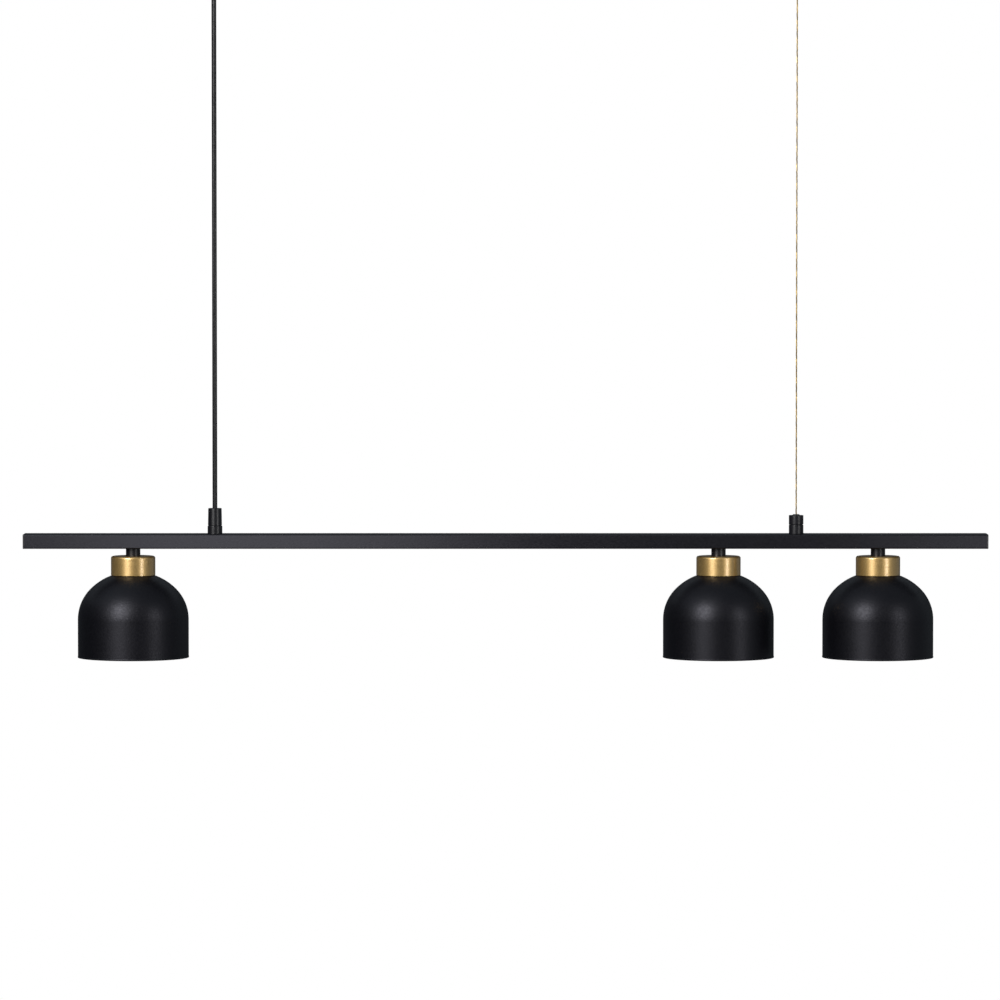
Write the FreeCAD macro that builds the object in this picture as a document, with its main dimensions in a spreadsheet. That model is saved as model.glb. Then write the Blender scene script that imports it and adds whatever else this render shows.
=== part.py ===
import FreeCAD, Part
import math
import os
import re

import Sketcher

Vector = FreeCAD.Vector
Rotation = FreeCAD.Rotation

# Driving sizes, in millimetres

SIZES = {
    # ceiling fitting
    "ceiling_gap": 0.5,
    "canopy_end_reach": 38.5,
    "canopy_width": 60,
    "canopy_height": 25,
    "canopy_wall": 1.2,
    "canopy_corner": 5,
    "canopy_edge": 2,
    "bracket_width": 28,
    "bracket_thickness": 2,
    "bracket_gap": 0.3,
    "ear_depth": 18,
    "slot_spacing": 400,
    "slot_width": 5.5,
    "slot_length": 16,
    "cable_entry": 20,
    "cover_screw_drop": 12,
    "cover_screw_diameter": 4,
    "cover_screw_length": 7,
    "cover_screw_head": 7.5,
    "cover_screw_head_height": 2.2,
    "cover_screw_crown": 5,
    "driver_slot": 1,
    "ceiling_terminal_length": 24,
    "ceiling_terminal_width": 30,
    "ceiling_terminal_height": 14,
    "ceiling_terminal_offset": 60,
    "ceiling_way_spacing": 10,
    "earth_stud_offset": 100,
    "earth_stud_diameter": 4,
    "earth_stud_length": 8,
    "earth_nut_across": 7,
    "earth_nut_height": 3.2,
    "earth_nut_lift": 1,
    # cord, wire and the fittings that they pass through
    "line_inset": 198.5,
    "fitting_height": 16,
    "fitting_edge": 1,
    "pivot_inset": 3,
    "end_gap": 0.3,
    "cord_diameter": 5,
    "cord_gap": 0.1,
    "cord_mouth": 8,
    "wire_diameter": 1.5,
    "wire_gap": 0.3,
    "wire_ball": 4.8,
    "ball_seat_gap": 0.15,
    "wire_throat": 3.5,
    "wire_mouth": 5.2,
    "stud_diameter": 10,
    "stud_gap": 0.2,
    "stud_beyond": 1.5,
    "nut_across": 14,
    "nut_height": 3,
    # rail
    "rail_drop": 609,
    "rail_length": 1000,
    "rail_height": 15,
    "rail_depth": 30,
    "rail_wall": 1.5,
    "rail_corner": 1.5,
    "end_cap_thickness": 1.5,
    "end_cap_edge": 0.6,
    "end_cap_plug": 9,
    "end_cap_gap": 0.1,
    "end_cap_wall": 1.5,
    "rail_terminal_offset": 30,
    "rail_terminal_length": 18,
    "rail_terminal_width": 22,
    "rail_terminal_height": 10,
    "rail_way_spacing": 7,
    "port_height": 3.5,
    "port_diameter": 3.6,
    "port_depth": 4,
    "terminal_screw": 3.2,
    "terminal_screw_depth": 3,
    "rail_earth_offset": 70,
    "rail_earth_length": 7,
    # cord grip
    "grip_base_diameter": 15.3,
    "grip_base_height": 8.3,
    "grip_height": 26.6,
    "grip_cap_lower": 14.5,
    "grip_cap_upper": 13.9,
    "grip_cap_edge": 0.8,
    "grip_thread": 11,
    "grip_thread_height": 6.7,
    "grip_thread_gap": 0.05,
    "seam_gap": 0.3,
    "collet_lower": 9.4,
    "collet_upper": 6.6,
    "collet_foot": 1.5,
    "collet_height": 6.7,
    "collet_slit": 0.8,
    "collet_gap": 0.3,
    "clamp_height": 3,
    # wire gripper
    "gripper_diameter": 15.1,
    "gripper_base_height": 9.3,
    "gripper_height": 19.3,
    "gripper_edge": 1,
    "gripper_thread": 12.4,
    "gripper_thread_height": 2.7,
    "gripper_thread_gap": 0.05,
    "spring_well": 9.6,
    "spring_floor": 2.5,
    "spring_diameter": 8.1,
    "spring_wire": 0.7,
    "spring_turns": 6,
    "plunger_diameter": 7,
    "plunger_gap": 0.1,
    "plunger_proud": 1,
    "plunger_edge": 0.4,
    "plunger_flange": 8.6,
    "plunger_flange_height": 1.2,
    "plunger_foot": 10.8,
    "cone_lower": 9.8,
    "cone_upper": 8.3,
    "cone_foot": 12.2,
    "cone_top": 17.5,
    "clamp_ball": 3.6,
    "clamp_ball_orbit": 2.6,
    "clamp_ball_height": 15,
    "clamp_ball_gap": 0.1,
    # heads
    "outer_head_inset": 113.5,
    "inner_head_inset": 279,
    "nipple_bore": 7.2,
    "neck_diameter": 15,
    "neck_height": 8,
    "collar_diameter": 46,
    "collar_height": 20,
    "collar_wall": 1.2,
    "collar_edge": 1.5,
    "collar_gap": 0.1,
    "shade_diameter": 115,
    "shade_height": 86.7,
    "shade_wall": 1,
    "dome_radius": 46.7,
    "seat_diameter": 39,
    "seat_hole": 28.6,
    "lip_height": 1.5,
    "lip_proud": 0.2,
    # lampholder and what is screwed to it
    "holder_length": 47,
    "holder_body": 25,
    "holder_shoulder": 2,
    "holder_flange": 36,
    "holder_skirt": 28,
    "holder_entry": 8,
    "holder_chamber": 18,
    "holder_chamber_floor": 16,
    "holder_floor": 18,
    "holder_floor_hole": 3,
    "holder_socket": 15.8,
    "shell_diameter": 15.6,
    "shell_bore": 14.6,
    "shell_floor_gap": 1.5,
    "shell_mouth_gap": 3,
    "contact_disc": 10,
    "contact_pin": 4,
    "contact_thickness": 0.6,
    "contact_gap": 0.3,
    "ring_flange": 37,
    "ring_grip": 34,
    "ring_height": 8,
    "ring_flange_height": 2,
    "ring_gap": 0.1,
    "ring_notch": 4,
    "ring_notch_orbit": 18,
    "ring_notches": 12,
    # bulb
    "bulb_diameter": 45,
    "bulb_length": 78,
    "bulb_insertion": 26,
    "bulb_glass_wall": 0.8,
    "bulb_shoulder": 18,
    "bulb_neck": 13.8,
    "bulb_neck_start": 3,
    "bulb_glass_tuck": 2,
    "bulb_cap_thread": 13.9,
    "bulb_cap_skirt": 15,
    "bulb_cap_skirt_height": 2,
    "bulb_cap_wall": 0.5,
    "bulb_cap_top": 21.5,
    "bulb_cap_bevel": 2,
    "foot_diameter": 9,
    "foot_gap": 0.1,
    "foot_height": 3.5,
    "foot_shoulder": 1.2,
    "foot_contact": 4.6,
    "foot_contact_height": 1,
    "foot_contact_edge": 0.4,
    # leads inside the rail and the heads
    "cord_core": 3.2,
    "cord_core_bend": 4,
    "canopy_lead_bend": 9,
    "head_lead": 3,
    "head_lead_bend": 4,
    "lead_lane": 10.6,
    "lead_rise": 5.2,
    "lead_turn_in": 22,
    "lead_straight_start": 7,
    "lead_end": 12,
    "wire_tail_length": 50,
    "wire_tail_bend": 4,
}

doc = FreeCAD.newDocument("IslandPendant")
sizes = doc.addObject("Spreadsheet::Sheet", "Sizes")
for row, (name, amount) in enumerate(SIZES.items(), 1):
    sizes.set(f"A{row}", name)
    sizes.set(f"B{row}", str(amount))
    sizes.setAlias(f"B{row}", name)
doc.recompute()

# Heights and places as expressions: zero is the ceiling, in the middle of the canopy

CANOPY_FLOOR = "(0 - ceiling_gap - canopy_height)"
PIVOT = f"({CANOPY_FLOOR} - fitting_height + pivot_inset)"
RAIL_TOP = "(0 - rail_drop)"
RAIL_MIDDLE = "(0 - rail_drop - rail_height / 2)"
RAIL_BOTTOM = "(0 - rail_drop - rail_height)"
CORD_X = "(line_inset - rail_length / 2)"
WIRE_X = "(rail_length / 2 - line_inset)"
CANOPY_END = f"({WIRE_X} + canopy_end_reach)"
CANOPY_LENGTH = f"(2 * {CANOPY_END})"
RAIL_STUD = "(rail_wall + nut_height + stud_beyond)"
CANOPY_STUD = "(canopy_wall + nut_height + stud_beyond)"

# How far a dome has fallen at the collar's inner edge and at the edge of the shade's flat seat
COLLAR_FALL = (
    "(dome_radius - sqrt(dome_radius^2"
    " - (collar_diameter / 2 - collar_wall - shade_diameter / 2 + dome_radius)^2))"
)
SEAT_FALL = (
    "(dome_radius - sqrt(dome_radius^2"
    " - (seat_diameter / 2 - shade_diameter / 2 + dome_radius)^2))"
)
COLLAR_TOP = f"({RAIL_BOTTOM} - neck_height)"
HOLDER_TOP = f"({COLLAR_TOP} - collar_wall)"
SHADE_TOP = f"({COLLAR_TOP} - collar_height - collar_gap + {COLLAR_FALL})"
SEAT = f"({SHADE_TOP} - {SEAT_FALL})"
HOLDER_MOUTH = f"({HOLDER_TOP} - holder_length)"
SHELL_TOP = "(0 - holder_floor - shell_floor_gap)"
SHELL_FOOT = "(shell_mouth_gap - holder_length)"
HEADS = {
    "left": "(outer_head_inset - rail_length / 2)",
    "middle": "(rail_length / 2 - inner_head_inset)",
    "right": "(rail_length / 2 - outer_head_inset)",
}


VOLUME_TOLERANCE = 0.02
SAME_PLACE = 1e-6


def bound(text):
    """Point every size that an expression names at its cell."""
    return re.sub(r"[a-z]+(?:_[a-z]+)+", lambda word: "Sizes." + word.group(), text)


def value(text):
    return float(sizes.evalExpression(bound(text)))


def point(x, y, z):
    return Vector(value(x), value(y), value(z))


def put(thing, x="0", y="0", z="0", turn=None):
    """Place an object by expressions, turned by a fixed rotation if one is given."""
    if turn:
        thing.Placement = FreeCAD.Placement(Vector(), turn)
    for axis, place in zip("xyz", (x, y, z)):
        thing.setExpression(f"Placement.Base.{axis}", bound(place))
    return thing


def new_body(label, x="0", y="0", z="0", turn=None):
    body = doc.addObject("PartDesign::Body", label)
    body.Label = label
    return put(body, x, y, z, turn)


def sketch_on(body, role):
    """A sketch on one of the body's own origin planes."""
    plane = next(f for f in body.Origin.OriginFeatures if f.Role == role)
    sketch = body.newObject("Sketcher::SketchObject", f"{body.Label}_sketch")
    sketch.AttachmentSupport = [(plane, "")]
    sketch.MapMode = "FlatFace"
    return sketch


def hold_distance(sketch, kind, item, end, text):
    rule = Sketcher.Constraint(kind, -1, 1, item, end, value(text))
    sketch.setExpression(f"Constraints[{sketch.addConstraint(rule)}]", bound(text))


def hold_point(sketch, item, end, x, y):
    """Hold a point of a sketch item at two expressions, where "0" is the sketch's axis."""
    for kind, axis, text in (("DistanceX", -2, x), ("DistanceY", -1, y)):
        if text == "0":
            sketch.addConstraint(Sketcher.Constraint("PointOnObject", item, end, axis))
        else:
            hold_distance(sketch, kind, item, end, text)


def hold_radius(sketch, item, radius):
    rule = Sketcher.Constraint("Radius", item, value(radius))
    sketch.setExpression(f"Constraints[{sketch.addConstraint(rule)}]", bound(radius))


def add_line(sketch, start, stop):
    return sketch.addGeometry(Part.LineSegment(start, stop), False), 1, 2


def add_arc(sketch, start, stop, radius, turn):
    """The shorter arc from start to stop, turning left for 1 and right for -1."""
    chord = stop - start
    side = Vector(-chord.y, chord.x, 0).normalize() * turn
    reach = math.sqrt(max(radius**2 - (chord.Length / 2) ** 2, 0))
    centre = start + chord * 0.5 + side * reach
    first, last = (start, stop) if turn > 0 else (stop, start)
    angles = [math.atan2(p.y - centre.y, p.x - centre.x) for p in (first, last)]
    circle = Part.Circle(centre, Vector(0, 0, 1), radius)
    item = sketch.addGeometry(Part.ArcOfCircle(circle, *angles), False)
    return (item, 1, 2) if turn > 0 else (item, 2, 1)


def add_outline(sketch, points):
    """A closed outline of (x, y) corners; (x, y, radius, turn) starts an arc to the next corner.

    A half circle is held by its centre, because its ends already settle its radius.
    """
    items = []
    for here, there in zip(points, points[1:] + points[:1]):
        start, stop = point(here[0], here[1], "0"), point(there[0], there[1], "0")
        if len(here) == 2:
            items.append(add_line(sketch, start, stop))
        else:
            items.append(add_arc(sketch, start, stop, value(here[2]), here[3]))
    for (item, _, last), (follower, first, _) in zip(items, items[1:] + items[:1]):
        sketch.addConstraint(Sketcher.Constraint("Coincident", item, last, follower, first))
    for (item, first, _), here, there in zip(items, points, points[1:] + points[:1]):
        hold_point(sketch, item, first, here[0], here[1])
        if len(here) == 4 and here[0] == there[0]:
            hold_distance(sketch, "DistanceX", item, 3, here[0])
        elif len(here) == 4:
            hold_radius(sketch, item, here[2])


def add_circle(sketch, x, y, radius):
    circle = Part.Circle(point(x, y, "0"), Vector(0, 0, 1), value(radius))
    item = sketch.addGeometry(circle, False)
    hold_point(sketch, item, 3, x, y)
    hold_radius(sketch, item, radius)


def rectangle(across, up, radius=None):
    """The outline of a rectangle about the sketch's origin, with rounded corners if asked."""
    a, b = f"({across}) / 2", f"({up}) / 2"
    if radius is None:
        return [(f"0 - {a}", f"0 - {b}"), (a, f"0 - {b}"), (a, b), (f"0 - {a}", b)]
    c, d = f"{a} - {radius}", f"{b} - {radius}"
    return [
        (f"0 - ({c})", f"0 - {b}"),
        (c, f"0 - {b}", radius, 1),
        (a, f"0 - ({d})"),
        (a, d, radius, 1),
        (c, b),
        (f"0 - ({c})", b, radius, 1),
        (f"0 - {a}", d),
        (f"0 - {a}", f"0 - ({d})", radius, 1),
    ]


def extrude(body, sketch, length, both_ways=False, backwards=False):
    pad = body.newObject("PartDesign::Pad", f"{body.Label}_pad")
    pad.Profile = sketch
    pad.setExpression("Length", bound(length))
    pad.Midplane = both_ways
    pad.Reversed = backwards
    body.Tip = pad
    return pad


def cut(body, sketch, length, both_ways=False, backwards=False):
    """A pocket of the given depth, which has to take something away."""
    doc.recompute()
    before = body.Shape.Volume
    pocket = body.newObject("PartDesign::Pocket", f"{body.Label}_pocket")
    pocket.Profile = sketch
    pocket.setExpression("Length", bound(length))
    pocket.Midplane = both_ways
    pocket.Reversed = backwards
    body.Tip = pocket
    doc.recompute()
    assert body.Shape.Volume < before, f"{body.Label}: a pocket cuts nothing"
    return pocket


def turned(label, points, x="0", y="0", z="0", turn=None):
    """A piece turned about its own Z axis, from an outline of radius and height."""
    body = new_body(label, x, y, z, turn)
    sketch = sketch_on(body, "XZ_Plane")
    add_outline(sketch, points)
    turning = body.newObject("PartDesign::Revolution", f"{label}_turning")
    turning.Profile = sketch
    turning.ReferenceAxis = (sketch, ["V_Axis"])
    turning.Angle = 360
    body.Tip = turning
    return body


def cylinder(name, diameter, height, x="0", y="0", z="0", turn=None):
    rod = doc.addObject("Part::Cylinder", name)
    rod.setExpression("Radius", bound(f"({diameter}) / 2"))
    rod.setExpression("Height", bound(height))
    return put(rod, x, y, z, turn)


def taken_from(label, base, tool):
    left = doc.addObject("Part::Cut", label)
    left.Base = base
    left.Tool = tool
    return left


def hex_nut(name, across, height, bore, x, y, z):
    """A hexagon nut that stands on its lower face."""
    prism = doc.addObject("Part::Prism", f"{name}_hexagon")
    prism.Polygon = 6
    prism.setExpression("Circumradius", bound(f"({across}) / sqrt(3)"))
    prism.setExpression("Height", bound(height))
    put(prism, x, y, z)
    return taken_from(name, prism, cylinder(f"{name}_bore", bore, height, x, y, z))


def group(label, pieces):
    """Identical or joined pieces that share a node, as separate solids."""
    together = doc.addObject("Part::Compound", label)
    together.Links = pieces
    together.Label = label
    return together


def rounded_path(points, radius):
    """Straight runs between the points, joined by tangent arcs."""
    edges = []
    start = points[0]
    for before, corner, after in zip(points, points[1:], points[2:]):
        toward = (corner - before).normalize()
        away = (after - corner).normalize()
        half_turn = toward.getAngle(away) / 2
        trim = radius * math.tan(half_turn)
        arc_start = corner - toward * trim
        arc_end = corner + away * trim
        inward = (away - toward).normalize()
        arc_middle = corner + inward * (radius / math.cos(half_turn) - radius)
        edges.append(Part.LineSegment(start, arc_start).toShape())
        edges.append(Part.Arc(arc_start, arc_middle, arc_end).toShape())
        start = arc_end
    edges.append(Part.LineSegment(start, points[-1]).toShape())
    return Part.Wire(edges)


def tube_along(path, diameter):
    """A solid round tube along a path, whose volume has to match its length."""
    first = path.OrderedEdges[0]
    start = path.OrderedVertexes[0].Point
    along = first.tangentAt(first.FirstParameter)
    section = Part.Wire(Part.Circle(start, along, diameter / 2).toShape())
    solid = path.makePipeShell([section], True, False)
    share = solid.Volume / (math.pi * diameter**2 / 4 * path.Length)
    assert abs(share - 1) < VOLUME_TOLERANCE, f"a tube's volume is {share:.3f} of what it should be"
    return solid


def feature(label, shape):
    thing = doc.addObject("Part::Feature", label)
    thing.Shape = shape
    thing.Label = label
    return thing


# Canopy cover: a folded tray, open to the ceiling, with holes for the two fittings and two screws

canopy = new_body("canopy_cover", z="0 - ceiling_gap")
plan = sketch_on(canopy, "XY_Plane")
add_outline(plan, rectangle(CANOPY_LENGTH, "canopy_width", "canopy_corner"))
block = extrude(canopy, plan, "canopy_height", backwards=True)
doc.recompute()
lowest = min(v.Z for v in block.Shape.Vertexes)
rim = [
    f"Edge{k}"
    for k, edge in enumerate(block.Shape.Edges, 1)
    if all(abs(v.Z - lowest) < SAME_PLACE for v in edge.Vertexes)
]
rounding = canopy.newObject("PartDesign::Fillet", "canopy_rounding")
rounding.Base = (block, rim)
rounding.setExpression("Radius", bound("canopy_edge"))
canopy.Tip = rounding
hollow = sketch_on(canopy, "XY_Plane")
add_outline(
    hollow,
    rectangle(
        f"{CANOPY_LENGTH} - 2 * canopy_wall",
        "canopy_width - 2 * canopy_wall",
        "(canopy_corner - canopy_wall)",
    ),
)
cut(canopy, hollow, "canopy_height - canopy_wall")
fitting_holes = sketch_on(canopy, "XY_Plane")
for place in (CORD_X, WIRE_X):
    add_circle(fitting_holes, place, "0", "stud_diameter / 2 + stud_gap")
cut(canopy, fitting_holes, "canopy_height")
screw_holes = sketch_on(canopy, "YZ_Plane")
add_circle(
    screw_holes,
    "0",
    "ceiling_gap - cover_screw_drop",
    "cover_screw_diameter / 2 + stud_gap",
)
cut(canopy, screw_holes, CANOPY_LENGTH, both_ways=True)

# Ceiling bracket: a steel strip with slots for two screws and a cable entry, and an ear at each end

BRACKET_END = f"({CANOPY_END} - canopy_wall - bracket_gap)"
strip = new_body("bracket_strip")
strip_plan = sketch_on(strip, "XY_Plane")
add_outline(strip_plan, rectangle(f"2 * {BRACKET_END}", "bracket_width"))
extrude(strip, strip_plan, "bracket_thickness", backwards=True)
strip_holes = sketch_on(strip, "XY_Plane")
add_circle(strip_holes, "0", "0", "cable_entry / 2")
for side in ("0 - slot_spacing / 2", "slot_spacing / 2"):
    run = "(slot_length - slot_width) / 2"
    round_end = "(slot_width / 2)"
    add_outline(
        strip_holes,
        [
            (f"{side} - {run}", f"0 - {round_end}"),
            (f"{side} + {run}", f"0 - {round_end}", round_end, 1),
            (f"{side} + {run}", round_end),
            (f"{side} - {run}", round_end, round_end, 1),
        ],
    )
cut(strip, strip_holes, "bracket_thickness")


def bracket_ear(name, end):
    """An upright plate under the strip, tapped for the cover's screw."""
    ear = new_body(name, x=end, z="0 - (bracket_thickness + ear_depth) / 2")
    face = sketch_on(ear, "YZ_Plane")
    add_outline(face, rectangle("bracket_width", "ear_depth - bracket_thickness"))
    add_circle(
        face,
        "0",
        "(bracket_thickness + ear_depth) / 2 - cover_screw_drop",
        "cover_screw_diameter / 2",
    )
    extrude(ear, face, "bracket_thickness", both_ways=True)
    return ear


EAR_MIDDLE = f"({BRACKET_END} - bracket_thickness / 2)"
ears = [bracket_ear("left_ear", f"0 - {EAR_MIDDLE}"), bracket_ear("right_ear", EAR_MIDDLE)]
group("ceiling_bracket", [strip, *ears])


def cover_screw(name, end, turn):
    """A pan-head screw whose head lies on the cover's end wall."""
    screw = turned(
        f"{name}_blank",
        [
            ("0", "0 - cover_screw_length"),
            ("cover_screw_diameter / 2", "0 - cover_screw_length"),
            ("cover_screw_diameter / 2", "0"),
            ("cover_screw_head / 2", "0"),
            ("cover_screw_head / 2", "cover_screw_head_height / 2"),
            ("cover_screw_crown / 2", "cover_screw_head_height"),
            ("0", "cover_screw_head_height"),
        ],
        x=end,
        z="0 - cover_screw_drop",
        turn=turn,
    )
    slot = sketch_on(screw, "XZ_Plane")
    half = "driver_slot / 2"
    floor = "cover_screw_head_height - driver_slot"
    add_outline(
        slot,
        [
            (f"0 - {half}", floor),
            (half, floor),
            (half, "cover_screw_head_height"),
            (f"0 - {half}", "cover_screw_head_height"),
        ],
    )
    cut(screw, slot, "cover_screw_head", both_ways=True)
    return screw


group(
    "cover_screws",
    [
        cover_screw("left_screw", f"0 - {CANOPY_END}", Rotation(Vector(0, 1, 0), -90)),
        cover_screw("right_screw", CANOPY_END, Rotation(Vector(0, 1, 0), 90)),
    ],
)


def terminal_block(label, length, width, tall, spacing, port_level, x, z):
    """A three-way terminal block that stands on z, with wire ports in both ends and screws on top."""
    block = new_body(label, x=x, z=z)
    plan = sketch_on(block, "XY_Plane")
    add_outline(plan, rectangle(length, width))
    extrude(block, plan, tall)
    ways = (f"0 - {spacing}", "0", spacing)
    for end, backwards in ((f"0 - ({length}) / 2", False), (f"({length}) / 2", True)):
        ports = sketch_on(block, "YZ_Plane")
        ports.setExpression("AttachmentOffset.Base.z", bound(end))
        for way in ways:
            add_circle(ports, way, port_level, "port_diameter / 2")
        cut(block, ports, "port_depth", backwards=not backwards)
    wells = sketch_on(block, "XY_Plane")
    wells.setExpression("AttachmentOffset.Base.z", bound(tall))
    for way in ways:
        for side in (f"0 - ({length}) / 4", f"({length}) / 4"):
            add_circle(wells, side, way, "terminal_screw / 2")
    cut(block, wells, "terminal_screw_depth")
    return block


CEILING_TERMINAL_X = f"({CORD_X} + ceiling_terminal_offset)"
terminal_block(
    "ceiling_terminal",
    "ceiling_terminal_length",
    "ceiling_terminal_width",
    "ceiling_terminal_height",
    "ceiling_way_spacing",
    "ceiling_terminal_height / 2",
    CEILING_TERMINAL_X,
    "0 - bracket_thickness - ceiling_terminal_height",
)


def earth_stud(label, length, x, z, upward):
    """A welded stud with its nut, standing up from z or hanging down from it."""
    stud_foot = z if upward else f"{z} - ({length})"
    nut_foot = f"{z} + earth_nut_lift" if upward else f"{z} - earth_nut_lift - earth_nut_height"
    stud = cylinder(f"{label}_shank", "earth_stud_diameter", length, x=x, z=stud_foot)
    nut = hex_nut(
        f"{label}_nut",
        "earth_nut_across",
        "earth_nut_height",
        "earth_stud_diameter",
        x,
        "0",
        nut_foot,
    )
    return group(label, [stud, nut])


earth_stud(
    "bracket_earth_stud",
    "earth_stud_length",
    "0 - earth_stud_offset",
    "0 - bracket_thickness",
    upward=False,
)

# Ceiling fittings: a bush that the cord leaves and an anchor that holds the wire's ball end

turned(
    "ceiling_bush",
    [
        ("cord_diameter / 2 + cord_gap", CANOPY_STUD),
        ("cord_diameter / 2 + cord_gap", "0 - fitting_height + pivot_inset + cord_diameter"),
        (
            "cord_diameter / 2 + end_gap",
            "0 - fitting_height + pivot_inset + cord_diameter - end_gap",
        ),
        ("cord_diameter / 2 + end_gap", "0 - fitting_height + pivot_inset"),
        ("cord_mouth / 2", "0 - fitting_height"),
        ("grip_base_diameter / 2 - fitting_edge", "0 - fitting_height"),
        ("grip_base_diameter / 2", "0 - fitting_height + fitting_edge"),
        ("grip_base_diameter / 2", "0"),
        ("stud_diameter / 2", "0"),
        ("stud_diameter / 2", CANOPY_STUD),
    ],
    x=CORD_X,
    z=CANOPY_FLOOR,
)
SEAT_RADIUS = "(wire_ball / 2 + ball_seat_gap)"
turned(
    "wire_anchor",
    [
        (SEAT_RADIUS, CANOPY_STUD),
        (SEAT_RADIUS, "0 - fitting_height + pivot_inset", SEAT_RADIUS, -1),
        (
            "wire_throat / 2",
            "0 - fitting_height + pivot_inset"
            f" - sqrt({SEAT_RADIUS}^2 - (wire_throat / 2)^2)",
        ),
        ("wire_mouth / 2", "0 - fitting_height"),
        ("gripper_diameter / 2 - fitting_edge", "0 - fitting_height"),
        ("gripper_diameter / 2", "0 - fitting_height + fitting_edge"),
        ("gripper_diameter / 2", "0"),
        ("stud_diameter / 2", "0"),
        ("stud_diameter / 2", CANOPY_STUD),
    ],
    x=WIRE_X,
    z=CANOPY_FLOOR,
)
group(
    "ceiling_nuts",
    [
        hex_nut(
            name,
            "nut_across",
            "nut_height",
            "stud_diameter",
            place,
            "0",
            f"{CANOPY_FLOOR} + canopy_wall",
        )
        for name, place in (("bush_nut", CORD_X), ("anchor_nut", WIRE_X))
    ],
)
CANOPY_LEAD_Z = "(0 - bracket_thickness - ceiling_terminal_height / 2)"
canopy_route = [
    point(f"{CEILING_TERMINAL_X} - ceiling_terminal_length / 2", "0", CANOPY_LEAD_Z),
    point(CORD_X, "0", CANOPY_LEAD_Z),
    point(CORD_X, "0", f"{PIVOT} + cord_diameter / 2 + end_gap"),
]
canopy_path = rounded_path(canopy_route, value("canopy_lead_bend"))
feature("canopy_lead", tube_along(canopy_path, value("cord_diameter")))

# Cord and wire: both hang straight; the cord has a round head, the wire a ball, at the pivot

CLAMP = f"({RAIL_TOP} + grip_base_height + grip_thread_height + clamp_height)"
turned(
    "pendant_cord",
    [
        ("0", f"{CLAMP} - {PIVOT}"),
        ("cord_diameter / 2", f"{CLAMP} - {PIVOT}"),
        ("cord_diameter / 2", "0", "cord_diameter / 2", 1),
        ("0", "cord_diameter / 2"),
    ],
    x=CORD_X,
    z=PIVOT,
)
WIRE_END = f"({RAIL_TOP} + clamp_ball_height)"
cylinder(
    "suspension_wire",
    "wire_diameter",
    f"{PIVOT} + wire_ball / 2 - {WIRE_END}",
    x=WIRE_X,
    z=WIRE_END,
)
ball = put(doc.addObject("Part::Sphere", "ball_blank"), x=WIRE_X, z=PIVOT)
ball.setExpression("Radius", bound("wire_ball / 2"))
ball_bore = cylinder(
    "ball_bore", "wire_diameter", "wire_ball", x=WIRE_X, z=f"{PIVOT} - wire_ball / 2"
)
taken_from("wire_ball_end", ball, ball_bore)

# Rail: a rectangular tube with holes for two fittings above and three heads below

RAIL_IN_HEIGHT = "(rail_height - 2 * rail_wall)"
RAIL_IN_DEPTH = "(rail_depth - 2 * rail_wall)"
rail = new_body("rail_tube", z=RAIL_MIDDLE)
section = sketch_on(rail, "YZ_Plane")
add_outline(section, rectangle("rail_depth", "rail_height", "rail_corner"))
add_outline(section, rectangle(RAIL_IN_DEPTH, RAIL_IN_HEIGHT))
extrude(rail, section, "rail_length - 2 * end_cap_thickness", both_ways=True)
top_holes = sketch_on(rail, "XY_Plane")
for place in (CORD_X, WIRE_X):
    add_circle(top_holes, place, "0", "stud_diameter / 2 + stud_gap")
cut(rail, top_holes, "rail_height", backwards=True)
bottom_holes = sketch_on(rail, "XY_Plane")
for place in HEADS.values():
    add_circle(bottom_holes, place, "0", "stud_diameter / 2 + stud_gap")
cut(rail, bottom_holes, "rail_height")


def end_cap(label, place, turn):
    """A moulded cap whose face finishes the tube and whose hollow plug pushes into it."""
    cap = new_body(label, x=place, z=RAIL_MIDDLE, turn=turn)
    face = sketch_on(cap, "YZ_Plane")
    add_outline(face, rectangle("rail_depth", "rail_height", "rail_corner"))
    plate = extrude(cap, face, "end_cap_thickness")
    doc.recompute()
    outer = max(v.X for v in plate.Shape.Vertexes)
    edges = [
        f"Edge{k}"
        for k, edge in enumerate(plate.Shape.Edges, 1)
        if all(abs(v.X - outer) < SAME_PLACE for v in edge.Vertexes)
    ]
    rounding = cap.newObject("PartDesign::Fillet", f"{label}_rounding")
    rounding.Base = (plate, edges)
    rounding.setExpression("Radius", bound("end_cap_edge"))
    cap.Tip = rounding
    plug = sketch_on(cap, "YZ_Plane")
    deep, tall = f"{RAIL_IN_DEPTH} - 2 * end_cap_gap", f"{RAIL_IN_HEIGHT} - 2 * end_cap_gap"
    add_outline(plug, rectangle(deep, tall))
    add_outline(
        plug, rectangle(f"{deep} - 2 * end_cap_wall", f"{tall} - 2 * end_cap_wall")
    )
    extrude(cap, plug, "end_cap_plug", backwards=True)
    return cap


TUBE_END = "(rail_length / 2 - end_cap_thickness)"
end_cap("end_cap_right", TUBE_END, None)
end_cap("end_cap_left", f"0 - {TUBE_END}", Rotation(Vector(0, 0, 1), 180))

RAIL_FLOOR = f"({RAIL_BOTTOM} + rail_wall)"
RAIL_TERMINAL_X = f"({CORD_X} + rail_terminal_offset + rail_terminal_length / 2)"
terminal_block(
    "rail_terminal",
    "rail_terminal_length",
    "rail_terminal_width",
    "rail_terminal_height",
    "rail_way_spacing",
    "port_height",
    RAIL_TERMINAL_X,
    RAIL_FLOOR,
)
earth_stud(
    "rail_earth_stud",
    "rail_earth_length",
    f"{CORD_X} + rail_earth_offset",
    RAIL_FLOOR,
    upward=True,
)

# Cord grip: a base screwed through the rail, a collet that closes on the cord and a threaded cap

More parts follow.
